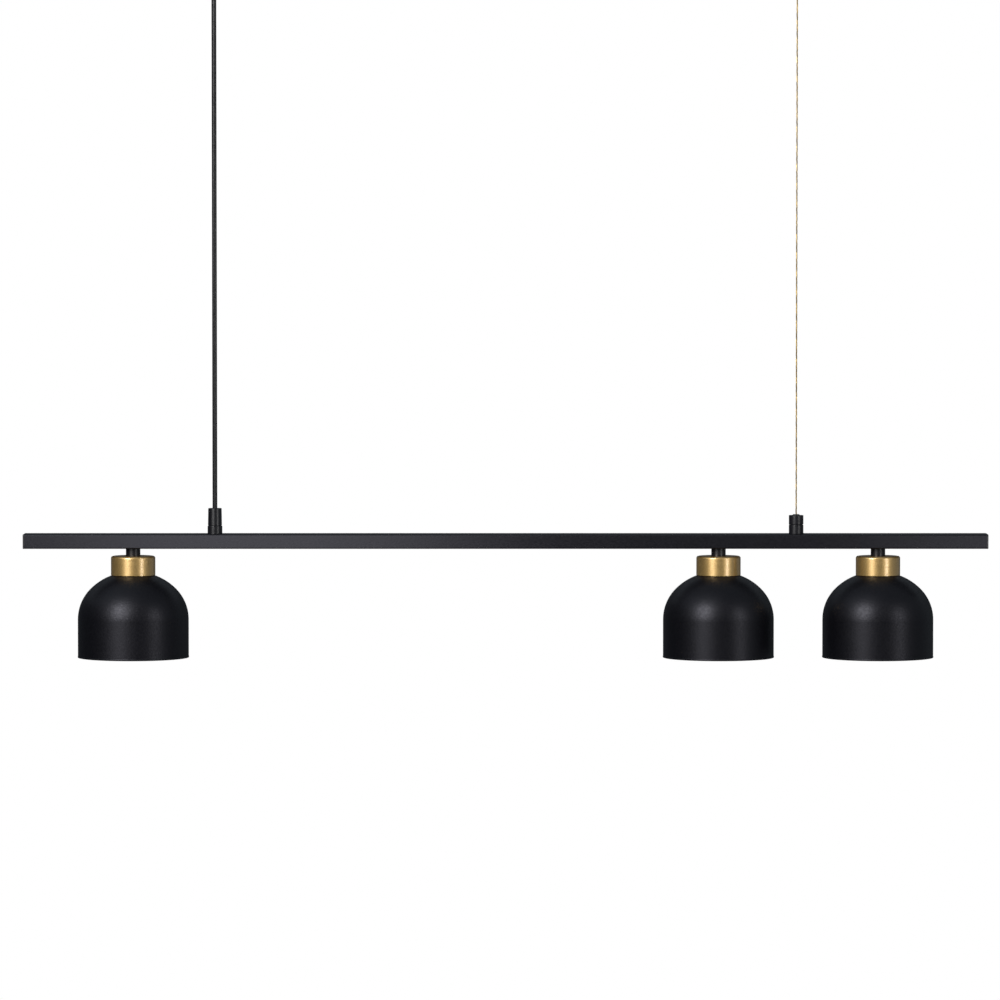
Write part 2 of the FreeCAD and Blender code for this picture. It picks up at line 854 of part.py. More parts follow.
THREAD_TOP = "(grip_base_height + grip_thread_height)"
turned(
    "grip_base",
    [
        ("cord_diameter / 2 + cord_gap", f"0 - {RAIL_STUD}"),
        ("stud_diameter / 2", f"0 - {RAIL_STUD}"),
        ("stud_diameter / 2", "0"),
        ("grip_base_diameter / 2", "0"),
        ("grip_base_diameter / 2", "grip_base_height"),
        ("grip_thread / 2", "grip_base_height"),
        ("grip_thread / 2", THREAD_TOP),
        ("cord_diameter / 2 + cord_gap", THREAD_TOP),
    ],
    x=CORD_X,
    z=RAIL_TOP,
)
COLLET_TOP = f"({THREAD_TOP} + collet_height)"
turned(
    "grip_cap",
    [
        ("grip_thread / 2 + grip_thread_gap", "grip_base_height + seam_gap"),
        ("grip_cap_lower / 2", "grip_base_height + seam_gap"),
        ("grip_cap_upper / 2", "grip_height - grip_cap_edge", "grip_cap_edge", 1),
        ("grip_cap_upper / 2 - grip_cap_edge", "grip_height"),
        ("cord_diameter / 2 + collet_gap", "grip_height"),
        ("cord_diameter / 2 + collet_gap", f"{COLLET_TOP} + 2 * collet_gap"),
        ("collet_upper / 2 + collet_gap", f"{COLLET_TOP} + collet_gap"),
        ("collet_lower / 2 + collet_gap", f"{THREAD_TOP} + collet_foot + collet_gap"),
        (
            "grip_thread / 2 + grip_thread_gap",
            f"{THREAD_TOP} + collet_foot + collet_gap",
        ),
    ],
    x=CORD_X,
    z=RAIL_TOP,
)
collet = turned(
    "grip_collet",
    [
        ("cord_diameter / 2 + cord_gap", THREAD_TOP),
        ("collet_lower / 2", THREAD_TOP),
        ("collet_lower / 2", f"{THREAD_TOP} + collet_foot"),
        ("collet_upper / 2", COLLET_TOP),
        ("cord_diameter / 2 + cord_gap", COLLET_TOP),
    ],
    x=CORD_X,
    z=RAIL_TOP,
)
for plane in ("XZ_Plane", "YZ_Plane"):
    slit = sketch_on(collet, plane)
    half = "collet_slit / 2"
    add_outline(
        slit,
        [
            (f"0 - {half}", f"{THREAD_TOP} + collet_foot"),
            (half, f"{THREAD_TOP} + collet_foot"),
            (half, f"{COLLET_TOP} + collet_foot"),
            (f"0 - {half}", f"{COLLET_TOP} + collet_foot"),
        ],
    )
    cut(collet, slit, "collet_lower", both_ways=True)

# The cord's tail: the sheath inside the grip, then its core bundle bent to the terminal block
PORT_Z = f"({RAIL_FLOOR} + port_height)"
sheath = cylinder(
    "tail_sheath",
    "cord_diameter",
    f"{CLAMP} - {RAIL_TOP} + {RAIL_STUD}",
    x=CORD_X,
    z=f"{RAIL_TOP} - {RAIL_STUD}",
)
core_route = [
    point(CORD_X, "0", f"{RAIL_TOP} - rail_wall"),
    point(CORD_X, "0", PORT_Z),
    point(f"{RAIL_TERMINAL_X} - rail_terminal_length / 2", "0", PORT_Z),
]
core_path = rounded_path(core_route, value("cord_core_bend"))
core = feature("tail_core", tube_along(core_path, value("cord_core")))
tail = doc.addObject("Part::MultiFuse", "cord_tail")
tail.Shapes = [sheath, core]

# Wire gripper: a base screwed through the rail, a barrel with a cone, and a sprung plunger with balls

turned(
    "gripper_base",
    [
        ("wire_diameter / 2 + wire_gap", f"0 - {RAIL_STUD}"),
        ("stud_diameter / 2", f"0 - {RAIL_STUD}"),
        ("stud_diameter / 2", "0"),
        ("gripper_diameter / 2", "0"),
        ("gripper_diameter / 2", "gripper_base_height"),
        ("gripper_thread / 2", "gripper_base_height"),
        ("gripper_thread / 2", "gripper_base_height + gripper_thread_height"),
        ("spring_well / 2", "gripper_base_height + gripper_thread_height"),
        ("spring_well / 2", "spring_floor"),
        ("wire_diameter / 2 + wire_gap", "spring_floor"),
    ],
    x=WIRE_X,
    z=RAIL_TOP,
)
turned(
    "gripper_barrel",
    [
        ("gripper_thread / 2 + gripper_thread_gap", "gripper_base_height + seam_gap"),
        ("gripper_diameter / 2", "gripper_base_height + seam_gap"),
        ("gripper_diameter / 2", "gripper_height - gripper_edge"),
        ("gripper_diameter / 2 - gripper_edge", "gripper_height"),
        ("plunger_diameter / 2 + plunger_gap", "gripper_height"),
        ("plunger_diameter / 2 + plunger_gap", "cone_top + gripper_edge / 2"),
        ("cone_upper / 2", "cone_top"),
        ("cone_lower / 2", "cone_foot"),
        ("gripper_thread / 2 + gripper_thread_gap", "cone_foot"),
    ],
    x=WIRE_X,
    z=RAIL_TOP,
)
PLUNGER_TOP = "(gripper_height + plunger_proud)"
cage = turned(
    "plunger_blank",
    [
        ("wire_diameter / 2 + wire_gap", "plunger_foot"),
        ("plunger_flange / 2", "plunger_foot"),
        ("plunger_flange / 2", "plunger_foot + plunger_flange_height"),
        ("plunger_diameter / 2", "plunger_foot + plunger_flange_height"),
        ("plunger_diameter / 2", f"{PLUNGER_TOP} - plunger_edge"),
        ("plunger_diameter / 2 - plunger_edge", PLUNGER_TOP),
        ("wire_diameter / 2 + wire_gap", PLUNGER_TOP),
    ],
    x=WIRE_X,
    z=RAIL_TOP,
)
windows = []
balls = []
for number, angle in enumerate((0, 120, 240), 1):
    window = cylinder(
        f"ball_window{number}",
        "clamp_ball + 2 * clamp_ball_gap",
        "plunger_diameter",
        x=WIRE_X,
        z=WIRE_END,
        turn=Rotation(Vector(0, 0, 1), angle) * Rotation(Vector(0, 1, 0), 90),
    )
    windows.append(window)
    clamp_ball = put(
        doc.addObject("Part::Sphere", f"clamp_ball{number}"),
        x=f"{WIRE_X} + clamp_ball_orbit * cos({angle} deg)",
        y=f"clamp_ball_orbit * sin({angle} deg)",
        z=WIRE_END,
    )
    clamp_ball.setExpression("Radius", bound("clamp_ball / 2"))
    balls.append(clamp_ball)
all_windows = doc.addObject("Part::MultiFuse", "ball_windows")
all_windows.Shapes = windows
taken_from("gripper_plunger", cage, all_windows)
group("gripper_balls", balls)


def helix_point(angle, radius, rise):
    return Vector(radius * math.cos(angle), radius * math.sin(angle), rise * angle)


def helix_tangent(angle, radius, rise):
    along = Vector(-radius * math.sin(angle), radius * math.cos(angle), rise)
    return along.normalize()


def tangent_arc(start, corner, stop):
    """The arc from start to stop whose end tangents meet at the corner."""
    middle = (start + stop) * 0.5
    half_chord = (stop - start).Length / 2
    out = corner - middle
    half_turn = math.atan2(out.Length, half_chord)
    crown = middle + out.normalize() * half_chord * math.tan(half_turn / 2)
    return Part.Arc(start, crown, stop).toShape()


def spring_path(radius, height, turns):
    """A helix as two tangent arcs for each quarter turn."""
    step = math.pi / 2
    rise = height / (2 * math.pi * turns)
    edges = []
    for quarter in range(round(4 * turns)):
        ends = (quarter * step, (quarter + 1) * step)
        start, stop = (helix_point(a, radius, rise) for a in ends)
        leave, arrive = (helix_tangent(a, radius, rise) for a in ends)
        chord = stop - start
        across = chord.dot(leave + arrive)
        bend = 2 * (leave.dot(arrive) - 1)
        reach = (across - math.sqrt(across**2 - bend * chord.dot(chord))) / bend
        first, second = start + leave * reach, stop - arrive * reach
        joint = (first + second) * 0.5
        edges.append(tangent_arc(start, first, joint))
        edges.append(tangent_arc(joint, second, stop))
    return Part.Wire(edges)


coil_radius = value("(spring_diameter - spring_wire) / 2")
coil_height = value("plunger_foot - spring_floor - spring_wire")
coil_path = spring_path(coil_radius, coil_height, value("spring_turns"))
spring = feature("gripper_spring", tube_along(coil_path, value("spring_wire")))
put(spring, x=WIRE_X, z=f"{RAIL_TOP} + spring_floor + spring_wire / 2")
coil_gap = coil_height / value("spring_turns") - value("spring_wire")
print(f"gripper spring: least gap between turns {coil_gap:.2f} mm")

wire_route = [
    point(WIRE_X, "0", WIRE_END),
    point(WIRE_X, "0", PORT_Z),
    point(f"{WIRE_X} + wire_tail_length", "0", PORT_Z),
]
wire_path = rounded_path(wire_route, value("wire_tail_bend"))
feature("wire_tail", tube_along(wire_path, value("wire_diameter")))

# Heads: nipple and nut, neck, collar, lampholder, shade and its ring, and the bulb

nipples = []
lock_nuts = [
    hex_nut(
        name,
        "nut_across",
        "nut_height",
        "stud_diameter",
        place,
        "0",
        f"{RAIL_TOP} - rail_wall - nut_height",
    )
    for name, place in (("grip_nut", CORD_X), ("gripper_nut", WIRE_X))
]
contacts = []
for side, place in HEADS.items():
    nipple = turned(
        f"nipple_{side}",
        [
            ("nipple_bore / 2", RAIL_STUD),
            ("nipple_bore / 2", "0 - rail_wall - neck_height - collar_wall - holder_entry"),
            ("stud_diameter / 2", "0 - rail_wall - neck_height - collar_wall - holder_entry"),
            ("stud_diameter / 2", RAIL_STUD),
        ],
        x=place,
        z=RAIL_BOTTOM,
    )
    nipples.append(nipple)
    lock_nuts.append(
        hex_nut(
            f"nipple_nut_{side}",
            "nut_across",
            "nut_height",
            "stud_diameter",
            place,
            "0",
            RAIL_FLOOR,
        )
    )
    turned(
        f"neck_{side}",
        [
            ("stud_diameter / 2 + stud_gap", "0"),
            ("neck_diameter / 2", "0"),
            ("neck_diameter / 2", "0 - neck_height"),
            ("stud_diameter / 2 + stud_gap", "0 - neck_height"),
        ],
        x=place,
        z=RAIL_BOTTOM,
    )
    turned(
        f"collar_{side}",
        [
            ("stud_diameter / 2 + stud_gap", "0"),
            ("collar_diameter / 2 - collar_edge", "0", "collar_edge", -1),
            ("collar_diameter / 2", "0 - collar_edge"),
            ("collar_diameter / 2", "0 - collar_height"),
            ("collar_diameter / 2 - collar_wall", "0 - collar_height"),
            ("collar_diameter / 2 - collar_wall", "0 - collar_wall"),
            ("stud_diameter / 2 + stud_gap", "0 - collar_wall"),
        ],
        x=place,
        z=COLLAR_TOP,
    )
    shoulder = f"({SEAT} - {HOLDER_TOP})"
    turned(
        f"lampholder_{side}",
        [
            ("stud_diameter / 2", "0"),
            ("holder_body / 2 - holder_shoulder", "0"),
            ("holder_body / 2", "0 - holder_shoulder"),
            ("holder_body / 2", f"{shoulder} + holder_shoulder"),
            ("holder_flange / 2", f"{shoulder} + holder_shoulder"),
            ("holder_flange / 2", shoulder),
            ("holder_skirt / 2", shoulder),
            ("holder_skirt / 2", "0 - holder_length"),
            ("holder_socket / 2", "0 - holder_length"),
            ("holder_socket / 2", "0 - holder_floor"),
            ("holder_floor_hole / 2", "0 - holder_floor"),
            ("holder_floor_hole / 2", "0 - holder_chamber_floor"),
            ("holder_chamber / 2", "0 - holder_chamber_floor"),
            ("holder_chamber / 2", "0 - holder_entry"),
            ("stud_diameter / 2", "0 - holder_entry"),
        ],
        x=place,
        z=HOLDER_TOP,
    )
    turned(
        f"socket_shell_{side}",
        [
            ("shell_bore / 2", SHELL_TOP),
            ("shell_bore / 2", SHELL_FOOT),
            ("shell_diameter / 2", SHELL_FOOT),
            ("shell_diameter / 2", SHELL_TOP),
        ],
        x=place,
        z=HOLDER_TOP,
    )
    contact = turned(
        f"contact_{side}",
        [
            ("0", "0 - holder_floor"),
            ("contact_disc / 2", "0 - holder_floor"),
            ("contact_disc / 2", "0 - holder_floor - contact_thickness"),
            ("contact_pin / 2", "0 - holder_floor - contact_thickness"),
            ("contact_pin / 2", "0 - holder_length + bulb_insertion + contact_gap"),
            ("0", "0 - holder_length + bulb_insertion + contact_gap"),
        ],
        x=place,
        z=HOLDER_TOP,
    )
    contacts.append(contact)
    arc_centre = "(shade_diameter / 2 - dome_radius)"
    inner_dome = "(dome_radius - shade_wall)"
    turned(
        f"shade_{side}",
        [
            ("seat_hole / 2", f"0 - {SEAT_FALL}"),
            ("seat_diameter / 2", f"0 - {SEAT_FALL}", "dome_radius", -1),
            ("shade_diameter / 2", "0 - dome_radius"),
            ("shade_diameter / 2", "0 - shade_height + lip_height + lip_proud"),
            ("shade_diameter / 2 + lip_proud", "0 - shade_height + lip_height"),
            ("shade_diameter / 2 + lip_proud", "0 - shade_height"),
            ("shade_diameter / 2 - shade_wall", "0 - shade_height"),
            ("shade_diameter / 2 - shade_wall", "0 - dome_radius", inner_dome, 1),
            (
                f"{arc_centre} + sqrt({inner_dome}^2 - ({inner_dome} - {SEAT_FALL})^2)",
                f"0 - {SEAT_FALL} - shade_wall",
            ),
            ("seat_hole / 2", f"0 - {SEAT_FALL} - shade_wall"),
        ],
        x=place,
        z=SHADE_TOP,
    )
    ring = turned(
        f"shade_ring_{side}",
        [
            ("holder_skirt / 2 + ring_gap", "0"),
            ("ring_flange / 2", "0"),
            ("ring_flange / 2", "0 - ring_flange_height"),
            ("ring_grip / 2", "0 - ring_flange_height"),
            ("ring_grip / 2", "0 - ring_height"),
            ("holder_skirt / 2 + ring_gap", "0 - ring_height"),
        ],
        x=place,
        z=f"{SEAT} - shade_wall",
    )
    notch = sketch_on(ring, "XY_Plane")
    notch.setExpression("AttachmentOffset.Base.z", bound("0 - ring_flange_height"))
    add_circle(notch, "ring_notch_orbit", "0", "ring_notch / 2")
    first_notch = cut(ring, notch, "ring_height")
    notches = ring.newObject("PartDesign::PolarPattern", f"notches_{side}")
    notches.Originals = [first_notch]
    notches.Axis = (notch, ["N_Axis"])
    notches.Angle = 360
    notches.setExpression("Occurrences", bound("ring_notches"))
    ring.Tip = notches

    # The bulb's own zero is the lampholder's mouth
    ball_radius = "(bulb_diameter / 2)"
    inner_ball = "(bulb_diameter / 2 - bulb_glass_wall)"
    ball_centre = f"({ball_radius} + bulb_insertion - bulb_length)"
    glass_shoulder = "(bulb_shoulder / 2)"
    inner_shoulder = "(bulb_shoulder / 2 - bulb_glass_wall)"
    turned(
        f"bulb_glass_{side}",
        [
            ("0", f"{ball_centre} - {ball_radius}", ball_radius, 1),
            (
                glass_shoulder,
                f"{ball_centre} + sqrt({ball_radius}^2 - {glass_shoulder}^2)",
            ),
            ("bulb_neck / 2", "0 - bulb_neck_start"),
            ("bulb_neck / 2", "bulb_glass_tuck"),
            ("bulb_neck / 2 - bulb_glass_wall", "bulb_glass_tuck"),
            ("bulb_neck / 2 - bulb_glass_wall", "0 - bulb_neck_start"),
            (
                inner_shoulder,
                f"{ball_centre} + sqrt({inner_ball}^2 - {inner_shoulder}^2)",
                inner_ball,
                -1,
            ),
            ("0", f"{ball_centre} - {inner_ball}"),
        ],
        x=place,
        z=HOLDER_MOUTH,
    )
    cap_foot = "(0 - bulb_cap_skirt_height / 2)"
    skirt_top = "(bulb_glass_tuck + bulb_cap_wall)"
    turned(
        f"bulb_cap_{side}",
        [
            ("bulb_cap_skirt / 2 - bulb_cap_wall", cap_foot),
            ("bulb_cap_skirt / 2", cap_foot),
            ("bulb_cap_skirt / 2", skirt_top),
            ("bulb_cap_thread / 2", f"{skirt_top} + bulb_cap_wall"),
            ("bulb_cap_thread / 2", "bulb_cap_top"),
            ("foot_diameter / 2 + bulb_cap_wall", "bulb_cap_top + bulb_cap_bevel"),
            ("foot_diameter / 2", "bulb_cap_top + bulb_cap_bevel"),
            ("foot_diameter / 2", "bulb_cap_top + bulb_cap_bevel - bulb_cap_wall"),
            ("bulb_cap_thread / 2 - bulb_cap_wall", "bulb_cap_top - bulb_cap_wall"),
            ("bulb_cap_thread / 2 - bulb_cap_wall", f"{skirt_top} + bulb_cap_wall"),
            ("bulb_cap_skirt / 2 - bulb_cap_wall", skirt_top),
        ],
        x=place,
        z=HOLDER_MOUTH,
    )
    foot_radius = "(foot_diameter / 2 - foot_gap)"
    turned(
        f"bulb_foot_{side}",
        [
            ("0", "bulb_insertion - foot_height"),
            (foot_radius, "bulb_insertion - foot_height"),
            (foot_radius, "bulb_insertion - foot_height + foot_shoulder"),
            ("foot_contact / 2", "bulb_insertion - foot_contact_height"),
            ("foot_contact / 2", "bulb_insertion - foot_contact_edge"),
            ("foot_contact / 2 - foot_contact_edge", "bulb_insertion"),
            ("0", "bulb_insertion"),
        ],
        x=place,
        z=HOLDER_MOUTH,
    )
group("head_nipples", nipples)
group("lock_nuts", lock_nuts)
group("socket_contacts", contacts)

# Leads: each runs along the rail's side, past the nuts, then down through its head's nipple

LEAD_Z = f"({RAIL_TOP} - lead_rise)"
leads = (
    ("left", -1, "rail_way_spacing", "lead_lane"),
    ("middle", 1, "rail_way_spacing", "lead_lane"),
    ("right", 1, "0 - rail_way_spacing", "0 - lead_lane"),
)
for side, direction, port, lane in leads:
    face = f"{RAIL_TERMINAL_X} + {direction} * rail_terminal_length / 2"
    head = HEADS[side]
    route = [
        point(face, port, PORT_Z),
        point(f"{face} + {direction} * lead_straight_start", port, PORT_Z),
        point(f"{face} + {direction} * lead_turn_in", lane, LEAD_Z),
        point(f"{head} - {direction} * lead_turn_in", lane, LEAD_Z),
        point(head, "0", LEAD_Z),
        point(head, "0", f"{HOLDER_TOP} - lead_end"),
    ]
    path = rounded_path(route, value("head_lead_bend"))
    feature(f"lead_{side}", tube_along(path, value("head_lead")))
    print(f"lead_{side}: {path.Length:.0f} mm long, bends of {value('head_lead_bend'):g} mm")

# Checks and export

doc.recompute()
nodes = (
    "canopy_cover ceiling_bracket cover_screws ceiling_terminal bracket_earth_stud"
    " ceiling_bush wire_anchor ceiling_nuts canopy_lead pendant_cord suspension_wire"
    " wire_ball_end rail_tube end_cap_left end_cap_right rail_terminal rail_earth_stud"
    " grip_base grip_cap grip_collet cord_tail gripper_base gripper_barrel gripper_plunger"
    " gripper_balls gripper_spring wire_tail head_nipples lock_nuts socket_contacts"
).split()
for side in HEADS:
    for piece in (
        "neck collar lampholder socket_shell shade shade_ring bulb_glass bulb_cap"
        " bulb_foot lead"
    ).split():
        nodes.append(f"{piece}_{side}")
for thing in doc.Objects:
    wrong = {"Invalid", "Error"} & set(thing.State)
    assert not wrong, f"{thing.Label} is {thing.State}"
os.makedirs("parts", exist_ok=True)
for node in nodes:
    found = doc.getObjectsByLabel(node)
    assert len(found) == 1, f"{node}: {len(found)} objects have this label"
    shape = found[0].Shape
    assert not shape.isNull() and shape.isValid(), f"{node} has no valid shape"
    assert shape.Solids, f"{node} has no solid"
    shape.exportStep(f"parts/{node}.step")
print(f"{len(nodes)} nodes written")
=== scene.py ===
import math

import bmesh
import bpy
from mathutils import Matrix, Vector


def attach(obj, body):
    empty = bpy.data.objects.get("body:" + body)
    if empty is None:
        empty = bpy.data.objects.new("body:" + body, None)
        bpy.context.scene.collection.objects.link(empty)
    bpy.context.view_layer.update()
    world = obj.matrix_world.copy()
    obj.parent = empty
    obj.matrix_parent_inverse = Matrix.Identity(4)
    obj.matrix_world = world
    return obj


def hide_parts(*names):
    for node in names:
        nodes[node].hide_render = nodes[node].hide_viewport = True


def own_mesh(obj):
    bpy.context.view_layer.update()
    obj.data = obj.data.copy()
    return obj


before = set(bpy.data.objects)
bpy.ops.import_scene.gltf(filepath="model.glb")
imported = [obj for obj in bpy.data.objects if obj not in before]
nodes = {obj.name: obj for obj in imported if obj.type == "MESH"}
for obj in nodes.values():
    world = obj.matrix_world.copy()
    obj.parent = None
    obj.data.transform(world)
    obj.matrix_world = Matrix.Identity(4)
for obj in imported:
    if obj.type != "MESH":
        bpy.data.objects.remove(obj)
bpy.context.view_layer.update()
scene = bpy.context.scene
SIDES = ("left", "middle", "right")

# Camera. A long lens stands six metres in front of the rail and a little above it, and looks
# slightly down, so that the tops of the rail and the collars show as thin lines.
view = bpy.data.cameras.new("long_lens")
view.lens = 216
view.sensor_width = 36
camera = bpy.data.objects.new("camera", view)
camera.location = (-0.00576, -6.218, -0.2905)
camera.rotation_euler = (math.radians(87.39), 0, 0)
scene.collection.objects.link(camera)
bpy.context.scene.camera = camera
scene.view_settings.view_transform = "Standard"

# Power cord. A round black sheath of soft plastic over three cores, which hangs straight from the
# bush in the ceiling cover to the grip on the rail. Its smooth skin keeps faint marks of the die.
MM = 0.001
CORD_X, WIRE_X = -301.5, 301.5
PIVOT = -38.5
CORD_FOOT = -591.0
CORD_WIDTH = 5.0


def add_node(tree, kind, inputs, **settings):
    """Adds a shader node, and sets or links its inputs."""
    node = tree.nodes.new(kind)
    for name, value in settings.items():
        setattr(node, name, value)
    for name, value in inputs.items():
        if isinstance(value, bpy.types.NodeSocket):
            tree.links.new(value, node.inputs[name])
        else:
            node.inputs[name].default_value = value
    return node


def new_group(name, inputs, outputs):
    """Starts a shader node group, and returns its tree and its two end nodes."""
    tree = bpy.data.node_groups.new(name, "ShaderNodeTree")
    for direction, sockets in (("INPUT", inputs), ("OUTPUT", outputs)):
        for label, kind in sockets.items():
            tree.interface.new_socket(label, in_out=direction, socket_type=f"NodeSocket{kind}")
    return tree, tree.nodes.new("NodeGroupInput"), tree.nodes.new("NodeGroupOutput")


def make_grain_group():
    """Fine grain and broad clouds, which a stretch turns into drawn or brushed lines."""
    tree, start, end = new_group(
        "surface_grain",
        {"Place": "Vector", "Stretch": "Vector", "Grain": "Float", "Cloud": "Float"},
        {"Fine": "Float", "Broad": "Float"},
    )
    stretched = add_node(
        tree,
        "ShaderNodeVectorMath",
        {0: start.outputs["Place"], 1: start.outputs["Stretch"]},
        operation="MULTIPLY",
    )
    fine = add_node(
        tree,
        "ShaderNodeTexNoise",
        {
            "Vector": stretched.outputs[0],
            "Scale": start.outputs["Grain"],
            "Detail": 3.0,
            "Roughness": 0.6,
        },
    )
    broad = add_node(
        tree,
        "ShaderNodeTexNoise",
        {"Vector": start.outputs["Place"], "Scale": start.outputs["Cloud"], "Detail": 4.0},
    )
    tree.links.new(fine.outputs["Fac"], end.inputs["Fine"])
    tree.links.new(broad.outputs["Fac"], end.inputs["Broad"])
    return tree


grain_group = make_grain_group()


def add_grain(tree, grain, cloud, stretch=(1, 1, 1), centre=(0, 0, 0)):
    """Places the grain group on a material's Object coordinates, measured from a centre."""
    place = add_node(tree, "ShaderNodeTexCoord", {})
    moved = add_node(
        tree,
        "ShaderNodeMapping",
        {"Vector": place.outputs["Object"], "Location": [-value for value in centre]},
    )
    marks = add_node(tree, "ShaderNodeGroup", {}, node_tree=grain_group)
    tree.links.new(moved.outputs["Vector"], marks.inputs["Place"])
    marks.inputs["Stretch"].default_value = stretch
    marks.inputs["Grain"].default_value = grain
    marks.inputs["Cloud"].default_value = cloud
    return marks


def ranged(tree, value, low, high, start=0.3, stop=0.7):
    """A value from start to stop, spread over low to high."""
    spread = add_node(
        tree,
        "ShaderNodeMapRange",
        {"Value": value, "From Min": start, "From Max": stop, "To Min": low, "To Max": high},
    )
    return spread.outputs["Result"]


def blended(tree, share, first, second):
    """A colour that goes from the first to the second by a share."""
    mix = add_node(tree, "ShaderNodeMix", {"Factor": share}, data_type="RGBA")
    for socket, colour in ((mix.inputs["A"], first), (mix.inputs["B"], second)):
        if isinstance(colour, bpy.types.NodeSocket):
            tree.links.new(colour, socket)
        else:
            socket.default_value = (*colour, 1)
    return mix.outputs["Result"]


def new_finish(name):
    """A new material, with its node tree and its surface shader."""
    finish = bpy.data.materials.new(name)
    finish.use_nodes = True
    return finish, finish.node_tree, finish.node_tree.nodes["Principled BSDF"]


def paint_tones(tree, skin, marks, dark, light, gloss):
    """Two tones in broad clouds, and a roughness that wanders between two values."""
    tone = ranged(tree, marks.outputs["Broad"], 0, 1)
    tree.links.new(blended(tree, tone, dark, light), skin.inputs["Base Color"])
    tree.links.new(ranged(tree, marks.outputs["Fine"], *gloss), skin.inputs["Roughness"])


def add_relief(tree, skin, height, depth):
    """Turns a grain into relief of a depth in millimetres."""
    bump = add_node(
        tree, "ShaderNodeBump", {"Height": height, "Distance": depth * MM, "Strength": 1.0}
    )
    tree.links.new(bump.outputs["Normal"], skin.inputs["Normal"])


def moulded(name, dark, light, gloss, grain, depth, shine=0.5, stretch=(1, 1, 1)):
    """A plastic: two close tones, a roughness that wanders between two values, and a fine skin."""
    finish, tree, skin = new_finish(name)
    marks = add_grain(tree, grain, 60, stretch)
    paint_tones(tree, skin, marks, dark, light, gloss)
    add_relief(tree, skin, marks.outputs["Fine"], depth)
    skin.inputs["Specular IOR Level"].default_value = shine
    return finish


def line_along(route):
    """The points of a smooth spline that has the route, in millimetres, as its control points."""
    curve = bpy.data.curves.new("route", "CURVE")
    curve.dimensions = "3D"
    spline = curve.splines.new("NURBS")
    spline.points.add(len(route) - 1)
    for control, place in zip(spline.points, route):
        control.co = (*(Vector(place) * MM), 1)
    spline.order_u = 3
    spline.use_endpoint_u = True
    spline.resolution_u = 40
    guide = bpy.data.objects.new("route", curve)
    scene.collection.objects.link(guide)
    points = [vert.co.copy() for vert in bpy.data.meshes.new_from_object(guide).vertices]
    bpy.data.objects.remove(guide)
    return points


def tube_round(name, lines, diameter, rings, taper=()):
    """A mesh tube of a diameter in millimetres round each line of points. The taper gives the
    share of that width at each of the first points."""
    curve = bpy.data.curves.new(name, "CURVE")
    curve.dimensions = "3D"
    curve.bevel_depth = diameter / 2 * MM
    curve.bevel_resolution = rings
    curve.use_fill_caps = True
    for line in lines:
        spline = curve.splines.new("POLY")
        spline.points.add(len(line) - 1)
        for control, place in zip(spline.points, line):
            control.co = (*place, 1)
        for control, share in zip(spline.points, taper):
            control.radius = share
    guide = bpy.data.objects.new(name, curve)
    scene.collection.objects.link(guide)
    shape = bmesh.new()
    shape.from_mesh(bpy.data.meshes.new_from_object(guide))
    bpy.data.objects.remove(guide)
    return shape


SHARPEST_SMOOTH = math.radians(38)


def put_up(shape, name, finish, body, slot, *stands_for):
    """Makes a piece of a finished shape, which rides on a body and stands for CAD nodes."""
    mesh = bpy.data.meshes.new(name)
    shape.to_mesh(mesh)
    shape.free()
    mesh.shade_smooth()
    mesh.set_sharp_from_angle(angle=SHARPEST_SMOOTH)
    mesh.materials.append(finish)
    piece = bpy.data.objects.new(name, mesh)
    scene.collection.objects.link(piece)
    flat_walls = piece.modifiers.new("flat_walls", "WEIGHTED_NORMAL")
    flat_walls.keep_sharp = True
    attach(piece, body)
    if stands_for:
        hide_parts(*stands_for)
    return piece


cord_sheath = moulded(
    "cord_sheath", (0.006, 0.006, 0.0065), (0.01, 0.01, 0.011), (0.24, 0.32), 900, 0.012,
    shine=0.42, stretch=(1, 1, 0.06),
)
end_turns = [math.radians(turn) for turn in range(8, 90, 10)]
cord_line = [
    Vector((CORD_X, 0, PIVOT + CORD_WIDTH / 2 * math.cos(turn))) * MM for turn in end_turns
]
cord_line += line_along(
    [(CORD_X, 0, z) for z in (PIVOT, -68, -200, -330, -460, -561, CORD_FOOT)]
)
rounded_end = [math.sin(turn) for turn in end_turns]
power_cord = put_up(
    tube_round("power_cord", [cord_line], CORD_WIDTH, 5, rounded_end),
    "power_cord", cord_sheath, "lines", "cord_jacket", "pendant_cord",
)
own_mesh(power_cord)

# Suspension wire. Three brass-plated steel strands laid up to the right, which carry the rail's
# other end. Its ball end sits in the anchor above, and the gripper's balls hold it below.
WIRE_FOOT = -594.0
STRAND = 0.7
STRAND_ORBIT = 0.4
LAY = 19.5


def metal(name, colour, second, gloss, grain, depth, stretch=(1, 1, 1)):
    """A plated or bare metal: two close tones, uneven polish and fine drawn or rolled marks."""
    finish, tree, skin = new_finish(name)
    skin.inputs["Metallic"].default_value = 1.0
    marks = add_grain(tree, grain, 90, stretch)
    paint_tones(tree, skin, marks, colour, second, gloss)
    add_relief(tree, skin, marks.outputs["Fine"], depth)
    return finish


def laid_up(line, orbit, lay, strands, step_down=0.8):
    """The strands' own lines, wound round a straight upright line. They go once round in the
    length of the lay, and each step goes down by step_down millimetres."""
    start = line[0]
    steps = round((start.z - line[-1].z) / (step_down * MM))
    wound = []
    for number in range(strands):
        run = []
        for step in range(steps + 1):
            z = start.z + (line[-1].z - start.z) * step / steps
            angle = math.tau * number / strands + math.tau * (start.z - z) / (lay * MM)
            aside = Vector((math.cos(angle), math.sin(angle), 0)) * orbit * MM
            run.append((start.x + aside.x, start.y + aside.y, z))
        wound.append(run)
    return wound


